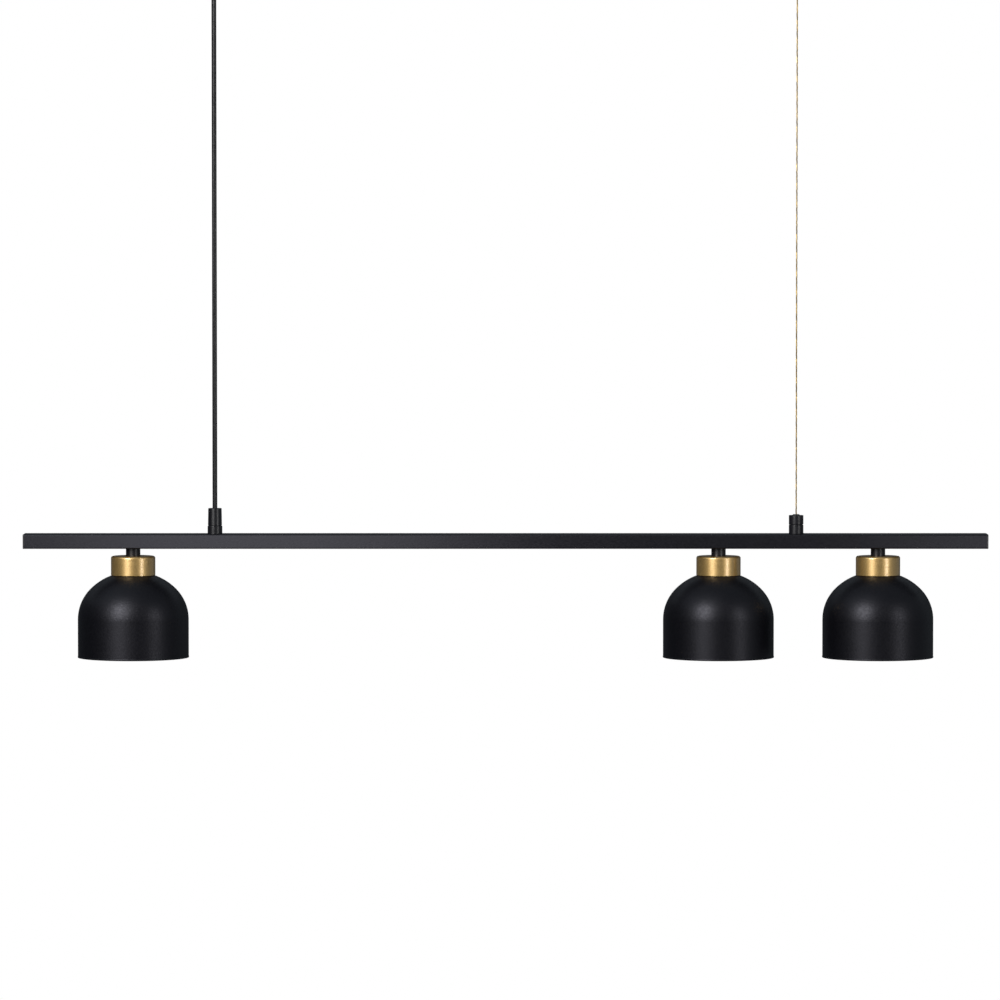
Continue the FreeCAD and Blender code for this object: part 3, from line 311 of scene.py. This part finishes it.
gold_strand = metal(
    "gold_strand", (0.5, 0.34, 0.11), (0.6, 0.42, 0.15), (0.3, 0.45), 4000, 0.004,
    stretch=(1, 1, 0.1),
)
wire_line = line_along(
    [(WIRE_X, 0, z) for z in (PIVOT + 2.4, -60, -200, -330, -460, -580, WIRE_FOOT)]
)
hanging_wire = put_up(
    tube_round("hanging_wire", laid_up(wire_line, STRAND_ORBIT, LAY, 3), STRAND, 2),
    "hanging_wire", gold_strand, "lines", "gold_wire", "suspension_wire",
)
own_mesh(hanging_wire)

# Studio. A plain pale floor well below the lamp, a white background, and soft lamps in front, to
# the left and to the right. Only reflections see the cloths: dark ones all round keep the blacks
# deep and draw each lamp as an upright streak, and paler ones above and behind lift the edges.
FLOOR_Z = -2.4
FLOOR_HALF = 6.0


def make_floor():
    """A pale floor that keeps the shadow and lets a view from below look through it."""
    shape = bmesh.new()
    bmesh.ops.create_grid(shape, x_segments=8, y_segments=8, size=FLOOR_HALF)
    bmesh.ops.translate(shape, verts=shape.verts[:], vec=(0, 0, FLOOR_Z))
    mesh = bpy.data.meshes.new("floor")
    shape.to_mesh(mesh)
    shape.free()
    paint, tree, skin = new_finish("pale_floor")
    skin.inputs["Base Color"].default_value = (0.9, 0.9, 0.9, 1)
    skin.inputs["Roughness"].default_value = 0.9
    skin.inputs["Specular IOR Level"].default_value = 0.1
    rays = add_node(tree, "ShaderNodeLightPath", {})
    pale = add_node(tree, "ShaderNodeEmission", {"Color": (1, 1, 1, 1), "Strength": 0.95})
    share = ranged(tree, rays.outputs["Is Camera Ray"], 0, 0.6, 0, 1)
    top = add_node(
        tree, "ShaderNodeMixShader", {0: share, 1: skin.outputs[0], 2: pale.outputs[0]}
    )
    side = add_node(tree, "ShaderNodeNewGeometry", {})
    clear = add_node(tree, "ShaderNodeBsdfTransparent", {})
    either = add_node(
        tree,
        "ShaderNodeMixShader",
        {0: side.outputs["Backfacing"], 1: top.outputs[0], 2: clear.outputs[0]},
    )
    tree.links.new(either.outputs[0], tree.nodes["Material Output"].inputs["Surface"])
    mesh.materials.append(paint)
    floor = bpy.data.objects.new("floor", mesh)
    scene.collection.objects.link(floor)


def make_background():
    """White for whatever sees it, and a plain level of light for the surfaces."""
    world = bpy.data.worlds.new("studio")
    world.use_nodes = True
    scene.world = world
    tree = world.node_tree
    rays = add_node(tree, "ShaderNodeLightPath", {})
    seen = add_node(
        tree,
        "ShaderNodeMath",
        {0: rays.outputs["Is Camera Ray"], 1: rays.outputs["Is Glossy Ray"]},
        operation="ADD",
    )
    seen = add_node(
        tree,
        "ShaderNodeMath",
        {0: seen.outputs[0], 1: rays.outputs["Is Transmission Ray"]},
        operation="ADD",
        use_clamp=True,
    )
    strength = ranged(tree, seen.outputs[0], 0.35, 1.0, 0, 1)
    light = tree.nodes["Background"]
    light.inputs["Color"].default_value = (1, 1, 1, 1)
    tree.links.new(strength, light.inputs["Strength"])


def bearing(azimuth, elevation):
    """The direction from the lamp at an angle round it, 0 in front, and above the horizon."""
    side, up = math.radians(azimuth), math.radians(elevation)
    return Vector(
        (math.sin(side) * math.cos(up), -math.cos(side) * math.cos(up), math.sin(up))
    )


LAMP_MIDDLE = Vector((0, 0, -0.65))


def hang_softbox(name, azimuth, elevation, distance, width, height, power, middle=LAMP_MIDDLE):
    """A soft lamp that faces a point of the pendant and stays out of the picture."""
    lamp = bpy.data.lights.new(name, "AREA")
    lamp.shape = "RECTANGLE"
    lamp.size, lamp.size_y = width, height
    lamp.energy = power
    box = bpy.data.objects.new(name, lamp)
    away = bearing(azimuth, elevation)
    box.location = middle + away * distance
    box.rotation_euler = away.to_track_quat("Z", "Y").to_euler()
    box.visible_camera = False
    scene.collection.objects.link(box)
    return box


def hang_cloth(name, azimuth, elevation, distance, width, height, grey):
    """A cloth of an even grey that only reflections see."""
    shape = bmesh.new()
    bmesh.ops.create_grid(shape, x_segments=2, y_segments=2, size=0.5)
    away = bearing(azimuth, elevation)
    bmesh.ops.scale(shape, verts=shape.verts[:], vec=(width, height, 1))
    bmesh.ops.transform(
        shape,
        verts=shape.verts[:],
        matrix=Matrix.Translation(LAMP_MIDDLE + away * distance)
        @ away.to_track_quat("Z", "Y").to_matrix().to_4x4(),
    )
    mesh = bpy.data.meshes.new(name)
    shape.to_mesh(mesh)
    shape.free()
    weave, tree, _ = new_finish(name)
    glow = add_node(tree, "ShaderNodeEmission", {"Color": (0.88, 1, 1.1, 1), "Strength": grey})
    tree.links.new(glow.outputs[0], tree.nodes["Material Output"].inputs["Surface"])
    mesh.materials.append(weave)
    cloth = bpy.data.objects.new(name, mesh)
    cloth.visible_camera = False
    cloth.visible_diffuse = False
    cloth.visible_shadow = False
    cloth.visible_transmission = False
    scene.collection.objects.link(cloth)


make_floor()
make_background()
hang_softbox("left_softbox", -31, 24, 4.6, 1.7, 2.6, 153)
hang_softbox("left_strip", -31, -4, 4.7, 2.0, 2.2, 12)
hang_softbox("right_strip", 46, 10, 4.6, 0.9, 2.9, 40)
for name, azimuth, elevation, distance, width, height, grey in (
    ("front_cloth", 0, 0, 7.5, 15.0, 14.0, 0.08),
    ("left_cloth", -90, 0, 7.5, 15.0, 14.0, 0.045),
    ("right_cloth", 90, 0, 7.5, 15.0, 14.0, 0.17),
    ("back_cloth", 180, 0, 7.5, 15.0, 14.0, 0.065),
    ("upper_left_cloth", -90, 58, 7.1, 15.0, 9.4, 0.36),
    ("upper_right_cloth", 90, 58, 7.1, 15.0, 9.4, 0.24),
    ("high_back_cloth", 180, 50, 6.0, 15.0, 4.6, 0.3),
    ("lower_cloth", 0, -90, 1.7, 15.0, 15.0, 0.05),
):
    hang_cloth(name, azimuth, elevation, distance, width, height, grey)

# Ceiling fitting. A zinc-plated bracket is screwed to the ceiling, and a folded steel cover with
# black powder coat closes it from below, held by a screw in each end.
COVER_LENGTH, COVER_WIDTH = 680.0, 60.0
COVER_TOP, COVER_FLOOR = -0.5, -25.5
COVER_CORNER, COVER_FOLD = 5.0, 2.0
COVER_SHEET = 1.2


def powder_coat(name, centre=(0, 0, 0)):
    """Matt black powder coat with the fine orange-peel grain of a baked powder."""
    finish, tree, skin = new_finish(name)
    marks = add_grain(tree, 520, 14, centre=centre)
    paint_tones(
        tree, skin, marks, (0.0011, 0.001, 0.002), (0.0019, 0.0017, 0.0031), (0.36, 0.48)
    )
    add_relief(tree, skin, marks.outputs["Fine"], 0.1)
    skin.inputs["Specular IOR Level"].default_value = 0.39
    skin.inputs["Specular Tint"].default_value = (0.9, 0.89, 1, 1)
    return finish


def block(size, middle):
    """A plain block to shape further, its size and middle in millimetres."""
    shape = bmesh.new()
    bmesh.ops.create_cube(shape, size=1)
    bmesh.ops.scale(shape, verts=shape.verts[:], vec=Vector(size) * MM)
    bmesh.ops.translate(shape, verts=shape.verts[:], vec=Vector(middle) * MM)
    return shape


def edges_where(shape, test):
    """The edges whose two ends both pass a test."""
    return [edge for edge in shape.edges if all(test(vert.co) for vert in edge.verts)]


def round_edges(shape, edges, radius, segments=5):
    """Rounds edges to a radius in millimetres."""
    bmesh.ops.bevel(
        shape,
        geom=edges,
        affect="EDGES",
        offset=radius * MM,
        segments=segments,
        profile=0.5,
        material=-1,
    )


black_coat = powder_coat("black_coat")
cover = block(
    (COVER_LENGTH, COVER_WIDTH, COVER_TOP - COVER_FLOOR), (0, 0, (COVER_TOP + COVER_FLOOR) / 2)
)
upright = [
    edge for edge in cover.edges if abs(edge.verts[0].co.z - edge.verts[1].co.z) > 1 * MM
]
round_edges(cover, upright, COVER_CORNER, 8)
floor_edges = edges_where(cover, lambda co: co.z < (COVER_FLOOR + 0.01) * MM)
round_edges(cover, floor_edges, COVER_FOLD)
lid = [face for face in cover.faces if face.normal.z > 0.9]
bmesh.ops.delete(cover, geom=lid, context="FACES_ONLY")
bmesh.ops.recalc_face_normals(cover, faces=cover.faces[:])
bmesh.ops.solidify(cover, geom=cover.faces[:], thickness=COVER_SHEET * MM)
put_up(cover, "ceiling_cover", black_coat, "canopy", "black_coat", "canopy_cover")

zinc_plate = metal(
    "zinc_plate", (0.56, 0.57, 0.6), (0.66, 0.66, 0.68), (0.3, 0.48), 1500, 0.006,
    stretch=(0.12, 1, 1),
)
fitting_black = moulded(
    "fitting_black", (0.0045, 0.004, 0.0065), (0.0075, 0.007, 0.01), (0.3, 0.42), 1400, 0.01,
    shine=0.52,
)
terminal_white = moulded(
    "terminal_white", (0.74, 0.74, 0.71), (0.8, 0.8, 0.77), (0.38, 0.5), 1200, 0.01
)
for name in ("ceiling_bracket", "bracket_earth_stud", "ceiling_nuts"):
    nodes[name].data.materials[0] = zinc_plate
nodes["cover_screws"].data.materials[0] = fitting_black
nodes["ceiling_terminal"].data.materials[0] = terminal_white

# Ceiling bush and wire anchor. The bush is moulded nylon with a rounded mouth for the cord, the
# anchor is turned steel with a seat for the wire's ball. A nut inside the cover holds each.


def draw_outline(shape, *steps):
    """Joins corners (radius, height[, rounding]) in millimetres. A step of ("arc", radius, height,
    degrees) swings the last corner about that point. An end beside the axis is put on it."""
    first = last = None
    corners = []
    for step in steps:
        if step[0] == "arc":
            swung = bmesh.ops.spin(
                shape,
                geom=[last],
                axis=(0, -1, 0),
                cent=(step[1] * MM, 0, step[2] * MM),
                angle=math.radians(step[3]),
                steps=max(4, round(abs(step[3]) / 4)),
            )
            last = swung["geom_last"][0]
            continue
        corner = shape.verts.new((step[0] * MM, 0, step[1] * MM))
        if last:
            shape.edges.new((last, corner))
        first = first or corner
        last = corner
        if len(step) == 3:
            corners.append((corner, step[2]))
    if abs(last.co.x) < 0.01 * MM:
        last.co.x = 0
    if first.co.x > 0 or last.co.x > 0:
        shape.edges.new((last, first))
    for corner, rounding in corners:
        bmesh.ops.bevel(
            shape,
            geom=[corner],
            affect="VERTICES",
            offset=rounding * MM,
            segments=4,
            profile=0.5,
            material=-1,
        )


def turned(x, z, *steps, segments=96):
    """A turned shape: an outline spun round the upright line at x, with its zero at z."""
    shape = bmesh.new()
    draw_outline(shape, *steps)
    bmesh.ops.spin(
        shape,
        geom=shape.verts[:] + shape.edges[:],
        axis=(0, 0, 1),
        cent=(0, 0, 0),
        angle=math.tau,
        steps=segments,
        use_merge=True,
    )
    bmesh.ops.remove_doubles(shape, verts=shape.verts[:], dist=0.001 * MM)
    bmesh.ops.recalc_face_normals(shape, faces=shape.faces[:])
    bmesh.ops.translate(shape, verts=shape.verts[:], vec=(x * MM, 0, z * MM))
    return shape


nylon = moulded(
    "black_nylon", (0.0035, 0.0032, 0.0048), (0.006, 0.0056, 0.008), (0.28, 0.4), 1100, 0.014,
    shine=0.64,
)
put_up(
    turned(
        CORD_X, COVER_FLOOR,
        (2.8, 5.7), (5, 5.7, 0.4), (5, 0), (7.55, 0), (7.55, -16, 1), (4.1, -16, 0.8),
        (2.8, -13.0),
    ),
    "cord_bush", nylon, "canopy", "black_nylon", "ceiling_bush",
)
put_up(
    turned(
        WIRE_X, COVER_FLOOR,
        (2.55, 5.7), (5, 5.7, 0.4), (5, 0), (7.55, 0), (7.55, -16, 1), (2.6, -16, 0.3),
        (1.75, -14.86), ("arc", 0, -13, 46.7),
    ),
    "ball_anchor", fitting_black, "canopy", "black_fitting", "wire_anchor",
)
contact_brass = metal(
    "contact_brass", (0.72, 0.55, 0.26), (0.8, 0.64, 0.34), (0.2, 0.34), 1800, 0.004
)
nodes["wire_ball_end"].data.materials[0] = contact_brass

# Lead inside the ceiling cover. The same black cord runs from the terminal block along the cover,
# and turns down into its bush.
canopy_run = line_along(
    [(-253.5, 0, -9), (-283, 0, -9), (CORD_X, 0, -9), (CORD_X, 0, -27), (CORD_X, 0, -35.7)]
)
put_up(
    tube_round("cover_lead", [canopy_run], CORD_WIDTH, 5),
    "cover_lead", cord_sheath, "canopy", "cord_jacket", "canopy_lead",
)

# Rail. A rectangular steel tube with rounded corners in black powder coat. A moulded cap closes
# each end, and its edge and the tube's leave a fine seam. Two small soft lamps light it alone.
RAIL_TOP, RAIL_FLOOR = -609.0, -624.0
RAIL_MIDDLE = (RAIL_TOP + RAIL_FLOOR) / 2
RAIL_DEPTH, RAIL_HEIGHT = 30.0, RAIL_TOP - RAIL_FLOOR
RAIL_CORNER = 1.5
TUBE_WALL = 1.5
TUBE_END, RAIL_END = 498.5, 500.0
CAP_EDGE, SEAM_EDGE = 0.6, 0.2
PLUG_REACH = 9.0
PLUG_PLAY = 0.2
PLUG_WALL, PLUG_FLOOR = 1.5, 1.0
RAIL_LAMP_DROP = 18.0
RAIL_LAMP_DISTANCE = 0.35


def along_rail(edge):
    """True for an edge that runs along the rail."""
    return abs(edge.verts[0].co.x - edge.verts[1].co.x) > 0.5 * MM


rail = block((2 * TUBE_END, RAIL_DEPTH, RAIL_HEIGHT), (0, 0, RAIL_MIDDLE))
round_edges(rail, [edge for edge in rail.edges if along_rail(edge)], RAIL_CORNER)
open_ends = [face for face in rail.faces if abs(face.normal.x) > 0.9]
bmesh.ops.delete(rail, geom=open_ends, context="FACES_ONLY")
bmesh.ops.recalc_face_normals(rail, faces=rail.faces[:])
bmesh.ops.solidify(rail, geom=rail.faces[:], thickness=TUBE_WALL * MM)
rail_bar = put_up(rail, "rail_bar", black_coat, "rail", "black_coat", "rail_tube")


def cap_end(name, side, node):
    """An end cap: a rounded plate, and the hollow plug behind it that the tube hides."""
    plate = block(
        (RAIL_END - TUBE_END, RAIL_DEPTH, RAIL_HEIGHT),
        ((TUBE_END + RAIL_END) / 2 * side, 0, RAIL_MIDDLE),
    )
    round_edges(plate, [edge for edge in plate.edges if along_rail(edge)], RAIL_CORNER)
    for face_x, rounding in ((RAIL_END, CAP_EDGE), (TUBE_END, SEAM_EDGE)):
        rim = edges_where(plate, lambda co: abs(co.x * side - face_x * MM) < 0.01 * MM)
        round_edges(plate, rim, rounding, 4)
    smaller = 2 * TUBE_WALL + PLUG_PLAY
    plug = block(
        (PLUG_REACH, RAIL_DEPTH - smaller, RAIL_HEIGHT - smaller),
        ((TUBE_END - PLUG_REACH / 2) * side, 0, RAIL_MIDDLE),
    )
    mouth = [face for face in plug.faces if face.normal.x * side < -0.9]
    bmesh.ops.inset_region(plug, faces=mouth, thickness=PLUG_WALL * MM, depth=0)
    bmesh.ops.translate(
        plug,
        verts=[vert for face in mouth for vert in face.verts],
        vec=((PLUG_REACH - PLUG_FLOOR) * MM * side, 0, 0),
    )
    bmesh.ops.recalc_face_normals(plate, faces=plate.faces[:])
    bmesh.ops.recalc_face_normals(plug, faces=plug.faces[:])
    joined = bpy.data.meshes.new(name)
    plug.to_mesh(joined)
    plug.free()
    plate.from_mesh(joined)
    return put_up(plate, name, nylon, "rail", "black_nylon", node)


rail_only = bpy.data.collections.new("rail_only")
for piece in (
    rail_bar, cap_end("left_cap", -1, "end_cap_left"), cap_end("right_cap", 1, "end_cap_right")
):
    rail_only.objects.link(piece)
for name, x, width, power in (
    ("left_rail_lamp", -260, 0.4, 1.05), ("right_rail_lamp", 535, 0.2, 0.24)
):
    lit = Vector((x, 0, RAIL_MIDDLE - RAIL_LAMP_DROP)) * MM
    rail_lamp = hang_softbox(name, 0, 0, RAIL_LAMP_DISTANCE, width, width, power, lit)
    rail_lamp.light_linking.receiver_collection = rail_only

# Cord grip. A moulded base is screwed through the rail, and a tapered cap on it closes a split
# collet on the cord.
put_up(
    turned(
        CORD_X, RAIL_TOP,
        (2.6, -6), (5, -6, 0.4), (5, 0), (7.65, 0, 0.3), (7.65, 8.3, 0.6), (5.5, 8.3),
        (5.5, 15), (2.6, 15),
    ),
    "grip_foot", nylon, "rail", "black_nylon", "grip_base",
)
put_up(
    turned(
        CORD_X, RAIL_TOP,
        (5.55, 8.6), (7.25, 8.6, 0.3), (6.95, 26.6, 0.4), (2.8, 26.6, 0.35), (2.8, 22.3),
        (3.6, 22), (5, 16.8), (5.55, 16.8),
    ),
    "grip_top", nylon, "grip_cap", "black_nylon", "grip_cap",
)
nodes["grip_collet"].data.materials[0] = nylon

# Wire gripper. A turned steel base and barrel in satin black, with a plunger on top whose three
# balls hold the wire. The coil spring under it gives way when it is pressed down.
put_up(
    turned(
        WIRE_X, RAIL_TOP,
        (1.05, -6), (5, -6, 0.4), (5, 0), (7.55, 0, 0.3), (7.55, 9.3, 0.6), (6.2, 9.3),
        (6.2, 12), (4.8, 12), (4.8, 2.5), (1.05, 2.5),
    ),
    "gripper_foot", fitting_black, "rail", "black_fitting", "gripper_base",
)
put_up(
    turned(
        WIRE_X, RAIL_TOP,
        (6.25, 9.6), (7.55, 9.6, 0.6), (7.55, 19.3, 0.4), (3.6, 19.3, 0.2), (3.6, 18),
        (4.15, 17.5), (4.9, 12.2), (6.25, 12.2),
    ),
    "gripper_body", fitting_black, "rail", "black_fitting", "gripper_barrel",
)
put_up(
    turned(
        WIRE_X, RAIL_TOP,
        (1.05, 10.8), (4.3, 10.8), (4.3, 12), (3.5, 12), (3.5, 20.3, 0.4), (1.05, 20.3, 0.2),
    ),
    "gripper_button", fitting_black, "plunger", "black_fitting", "gripper_plunger",
)
hard_steel = metal(
    "hard_steel", (0.6, 0.6, 0.61), (0.68, 0.68, 0.69), (0.12, 0.25), 1800, 0.002
)
nodes["gripper_balls"].data.materials[0] = hard_steel
SPRING_FOOT, SPRING_HEAD = RAIL_TOP + 2.5, RAIL_TOP + 10.8
SPRING_WIRE, SPRING_TURNS = 0.7, 6
COIL_RADIUS = 3.7
coil_ends = [
    Vector((WIRE_X, 0, z)) * MM
    for z in (SPRING_HEAD - SPRING_WIRE / 2, SPRING_FOOT + SPRING_WIRE / 2)
]
coil_rise = (SPRING_HEAD - SPRING_FOOT - SPRING_WIRE) / SPRING_TURNS
gripper_spring = put_up(
    tube_round(
        "gripper_coil", laid_up(coil_ends, COIL_RADIUS, coil_rise, 1, 0.03), SPRING_WIRE, 3
    ),
    "gripper_coil", hard_steel, "rail", "hard_steel", "gripper_spring",
)
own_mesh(gripper_spring)

# Inside the rail. The cord's three cores reach a terminal block beside an earth stud, and a white
# sleeved lead runs from there to each head. The wire's spare end lies along the floor.
for name, finish in {
    "rail_terminal": terminal_white,
    "rail_earth_stud": zinc_plate,
    "lock_nuts": zinc_plate,
    "head_nipples": zinc_plate,
}.items():
    nodes[name].data.materials[0] = finish
sleeve = moulded(
    "lead_sleeve", (0.7, 0.7, 0.67), (0.76, 0.76, 0.73), (0.45, 0.6), 1500, 0.02,
    stretch=(0.1, 1, 1),
)
TERMINAL_X = -262.5
PORT_Z, LANE_Z = -619.0, -614.2
SHEATH_END = -615.0
sheath_line = line_along([(CORD_X, 0, z) for z in (CORD_FOOT, -603, SHEATH_END)])
sheath = tube_round("cord_sheath", [sheath_line], CORD_WIDTH, 5)
core_route = [
    (CORD_X, 0, -610.5), (CORD_X, 0, SHEATH_END), (CORD_X, 0, PORT_Z),
    (CORD_X + 4, 0, PORT_Z), (-285, 0, PORT_Z), (TERMINAL_X - 9, 0, PORT_Z),
]
core = tube_round("cord_core", [line_along(core_route)], 3.2, 4)
core_mesh = bpy.data.meshes.new("cord_core")
core.to_mesh(core_mesh)
core.free()
sheath.from_mesh(core_mesh)
put_up(sheath, "cord_end", cord_sheath, "rail", "cord_jacket", "cord_tail")
wire_route = [
    (WIRE_X, 0, WIRE_FOOT), (WIRE_X, 0, -610), (WIRE_X, 0, PORT_Z + 4), (WIRE_X, 0, PORT_Z),
    (WIRE_X + 4, 0, PORT_Z), (WIRE_X + 20, 0, PORT_Z), (WIRE_X + 50, 0, PORT_Z),
]
put_up(
    tube_round("wire_end", [line_along(wire_route)], 1.5, 3),
    "wire_end", gold_strand, "rail", "gold_wire", "wire_tail",
)
HEAD_X = dict(zip(SIDES, (-386.5, 221.0, 386.5)))
for side, way, port, lane in (
    ("left", -1, 7, 10.6), ("middle", 1, 7, 10.6), ("right", 1, -7, -10.6)
):
    start, head = TERMINAL_X + 9 * way, HEAD_X[side]
    lead_route = [
        (start, port, PORT_Z), (start + 7 * way, port, PORT_Z),
        (start + 22 * way, lane, LANE_Z), (head - 22 * way, lane, LANE_Z),
        (head - 4 * way, lane * 4 / 22, LANE_Z), (head, 0, LANE_Z), (head, 0, LANE_Z - 4),
        (head, 0, -632), (head, 0, -645.2),
    ]
    put_up(
        tube_round(f"head_lead_{side}", [line_along(lead_route)], 3, 4),
        f"head_lead_{side}", sleeve, "rail", "lead_jacket", f"lead_{side}",
    )

# Neck and collar of each head. The neck is a short black steel tube. The collar is a turned brass
# cup, brushed round its axis and lacquered, with a softly rounded top edge.
NECK_TOP, COLLAR_TOP = -624.0, -632.0


def brushed_brass(side):
    """Satin brass with fine lines round its own head's axis."""
    finish, tree, skin = new_finish(f"satin_brass_{side}")
    skin.inputs["Metallic"].default_value = 0.88
    skin.inputs["Coat Weight"].default_value = 1.0
    skin.inputs["Coat Roughness"].default_value = 0.25
    skin.inputs["Coat IOR"].default_value = 1.95
    centre = (HEAD_X[side] * MM, 0, COLLAR_TOP * MM)
    lines = add_grain(tree, 60, 70, (1, 1, 26), centre)
    specks = add_grain(tree, 1500, 800, (1, 1, 1.6), centre)
    tone = ranged(tree, specks.outputs["Broad"], 0, 1, 0.34, 0.66)
    colour = blended(tree, tone, (0.69, 0.425, 0.125), (0.83, 0.54, 0.19))
    tree.links.new(colour, skin.inputs["Base Color"])
    both = add_node(
        tree,
        "ShaderNodeMath",
        {0: lines.outputs["Fine"], 1: specks.outputs["Fine"]},
        operation="ADD",
    )
    tree.links.new(
        ranged(tree, both.outputs[0], 0.32, 0.46, 0.7, 1.3), skin.inputs["Roughness"]
    )
    add_relief(tree, skin, both.outputs[0], 0.01)
    return finish


for side in SIDES:
    put_up(
        turned(
            HEAD_X[side], NECK_TOP, (5.2, 0), (7.5, 0, 0.3), (7.5, -8, 0.3), (5.2, -8)
        ),
        f"neck_tube_{side}", fitting_black, "rail", "black_fitting", f"neck_{side}",
    )
    put_up(
        turned(
            HEAD_X[side], COLLAR_TOP,
            (5.2, 0), (23, 0, 2.2), (23, -20, 0.35), (21.8, -20, 0.2), (21.8, -1.2),
            (5.2, -1.2), segments=144,
        ),
        f"collar_cup_{side}", brushed_brass(side), "rail", "satin_brass", f"collar_{side}",
    )

# Shade of each head. A spun steel dome of 1 mm sheet in the rail's black coat, whose lower edge is
# turned over into a narrow lip. It hangs between the lampholder's flange and its ring.
SHADE_TOP = -650.786
for side in SIDES:
    put_up(
        turned(
            HEAD_X[side], SHADE_TOP,
            (14.3, -0.817), (20.72, -0.817), ("arc", 2.36, -57.05, -27.7),
            ("arc", 12.48, -47.19, -44.2), (57.5, -84.9, 0.1), (57.7, -85.2, 0.15),
            (57.7, -86.7, 0.4), (56.5, -86.7, 0.3), (56.5, -47.19),
            ("arc", 12.48, -47.19, 44.2), ("arc", 2.36, -57.05, 27.5), (14.3, -1.817),
            segments=160,
        ),
        f"dome_{side}", powder_coat(f"black_coat_{side}", (HEAD_X[side] * MM, 0, 0)),
        "rail", "black_coat", f"shade_{side}",
    )

# Lampholder of each head. A black phenolic body on the nipple, with a flange over the shade, a
# threaded skirt through it, a notched ring that clamps it, and a brass shell and contact inside.
HOLDER_TOP, HOLDER_MOUTH = -633.2, -680.2
SKIRT_PITCH = 2.0
phenolic = moulded(
    "black_phenolic", (0.016, 0.016, 0.017), (0.024, 0.023, 0.023), (0.25, 0.38), 1000, 0.01
)


def thread(radius, root, start, pitch, turns):
    """The ridges of a thread, as steps of an outline that runs down from a height."""
    ridge = []
    for turn in range(turns):
        z = start - turn * pitch
        ridge += [
            (radius, z), (radius, z - pitch * 0.3), (root, z - pitch * 0.5),
            (root, z - pitch * 0.8),
        ]
    return ridge


for side in SIDES:
    put_up(
        turned(
            HEAD_X[side], HOLDER_TOP,
            (5, 0), (10.5, 0, 0.4), (12.5, -2, 0.5), (12.5, -16.403), (18, -16.403, 0.3),
            (18, -18.403), (14, -18.403), *thread(14, 13.6, -28.2, SKIRT_PITCH, 9), (14, -46.2),
            (14, -47, 0.6), (7.9, -47, 0.5), (7.9, -18), (1.5, -18), (1.5, -16), (9, -16),
            (9, -8), (5, -8),
        ),
        f"holder_{side}", phenolic, "rail", "black_phenolic", f"lampholder_{side}",
    )
    nodes[f"shade_ring_{side}"].data.materials[0] = phenolic
    nodes[f"socket_shell_{side}"].data.materials[0] = contact_brass
nodes["socket_contacts"].data.materials[0] = contact_brass

# Bulb of each head. A small globe of opal glass is cemented into a nickel-plated screw cap, which
# ends in a ring of black glass round the solder contact.
CAP_PITCH = 2.82


def opal_glass(side):
    """Opal glass: white through and through under a smooth shiny skin."""
    finish, tree, skin = new_finish(f"opal_glass_{side}")
    marks = add_grain(tree, 300, 40, centre=(HEAD_X[side] * MM, 0, HOLDER_MOUTH * MM))
    paint_tones(tree, skin, marks, (0.84, 0.84, 0.82), (0.88, 0.88, 0.86), (0.08, 0.16))
    skin.inputs["Subsurface Weight"].default_value = 0.4
    skin.inputs["Subsurface Radius"].default_value = (1, 0.95, 0.9)
    skin.inputs["Subsurface Scale"].default_value = 0.004
    return finish


nickel = metal(
    "nickel_cap", (0.6, 0.58, 0.54), (0.68, 0.66, 0.62), (0.15, 0.3), 1600, 0.003
)
foot_glass = moulded(
    "foot_glass", (0.02, 0.02, 0.022), (0.03, 0.03, 0.032), (0.08, 0.2), 900, 0.004
)
for side in SIDES:
    put_up(
        turned(
            HEAD_X[side], HOLDER_MOUTH,
            (0, -52), ("arc", 0, -29.5, 153.09), ("arc", 12.9, -4.09, -63.09), (6.9, 2),
            (6.1, 2), (6.1, -4.09), ("arc", 12.9, -4.09, 63.09), ("arc", 0, -29.5, -153.09),
        ),
        f"globe_{side}", opal_glass(side), f"bulb_{side}", "opal_glass",
        f"bulb_glass_{side}",
    )
    put_up(
        turned(
            HEAD_X[side], HOLDER_MOUTH,
            (7, -1), (7, 2.5), (6.2, 3), (6.2, 21), (4.5, 23), (4.5, 23.5), (5, 23.5),
            *thread(6.95, 6.6, 21.5, CAP_PITCH, 6), (6.95, 3), (7.5, 2.5), (7.5, -1),
        ),
        f"screw_cap_{side}", nickel, f"bulb_{side}", "nickel_cap", f"bulb_cap_{side}",
    )
    nodes[f"bulb_foot_{side}"].data.materials[0] = foot_glass
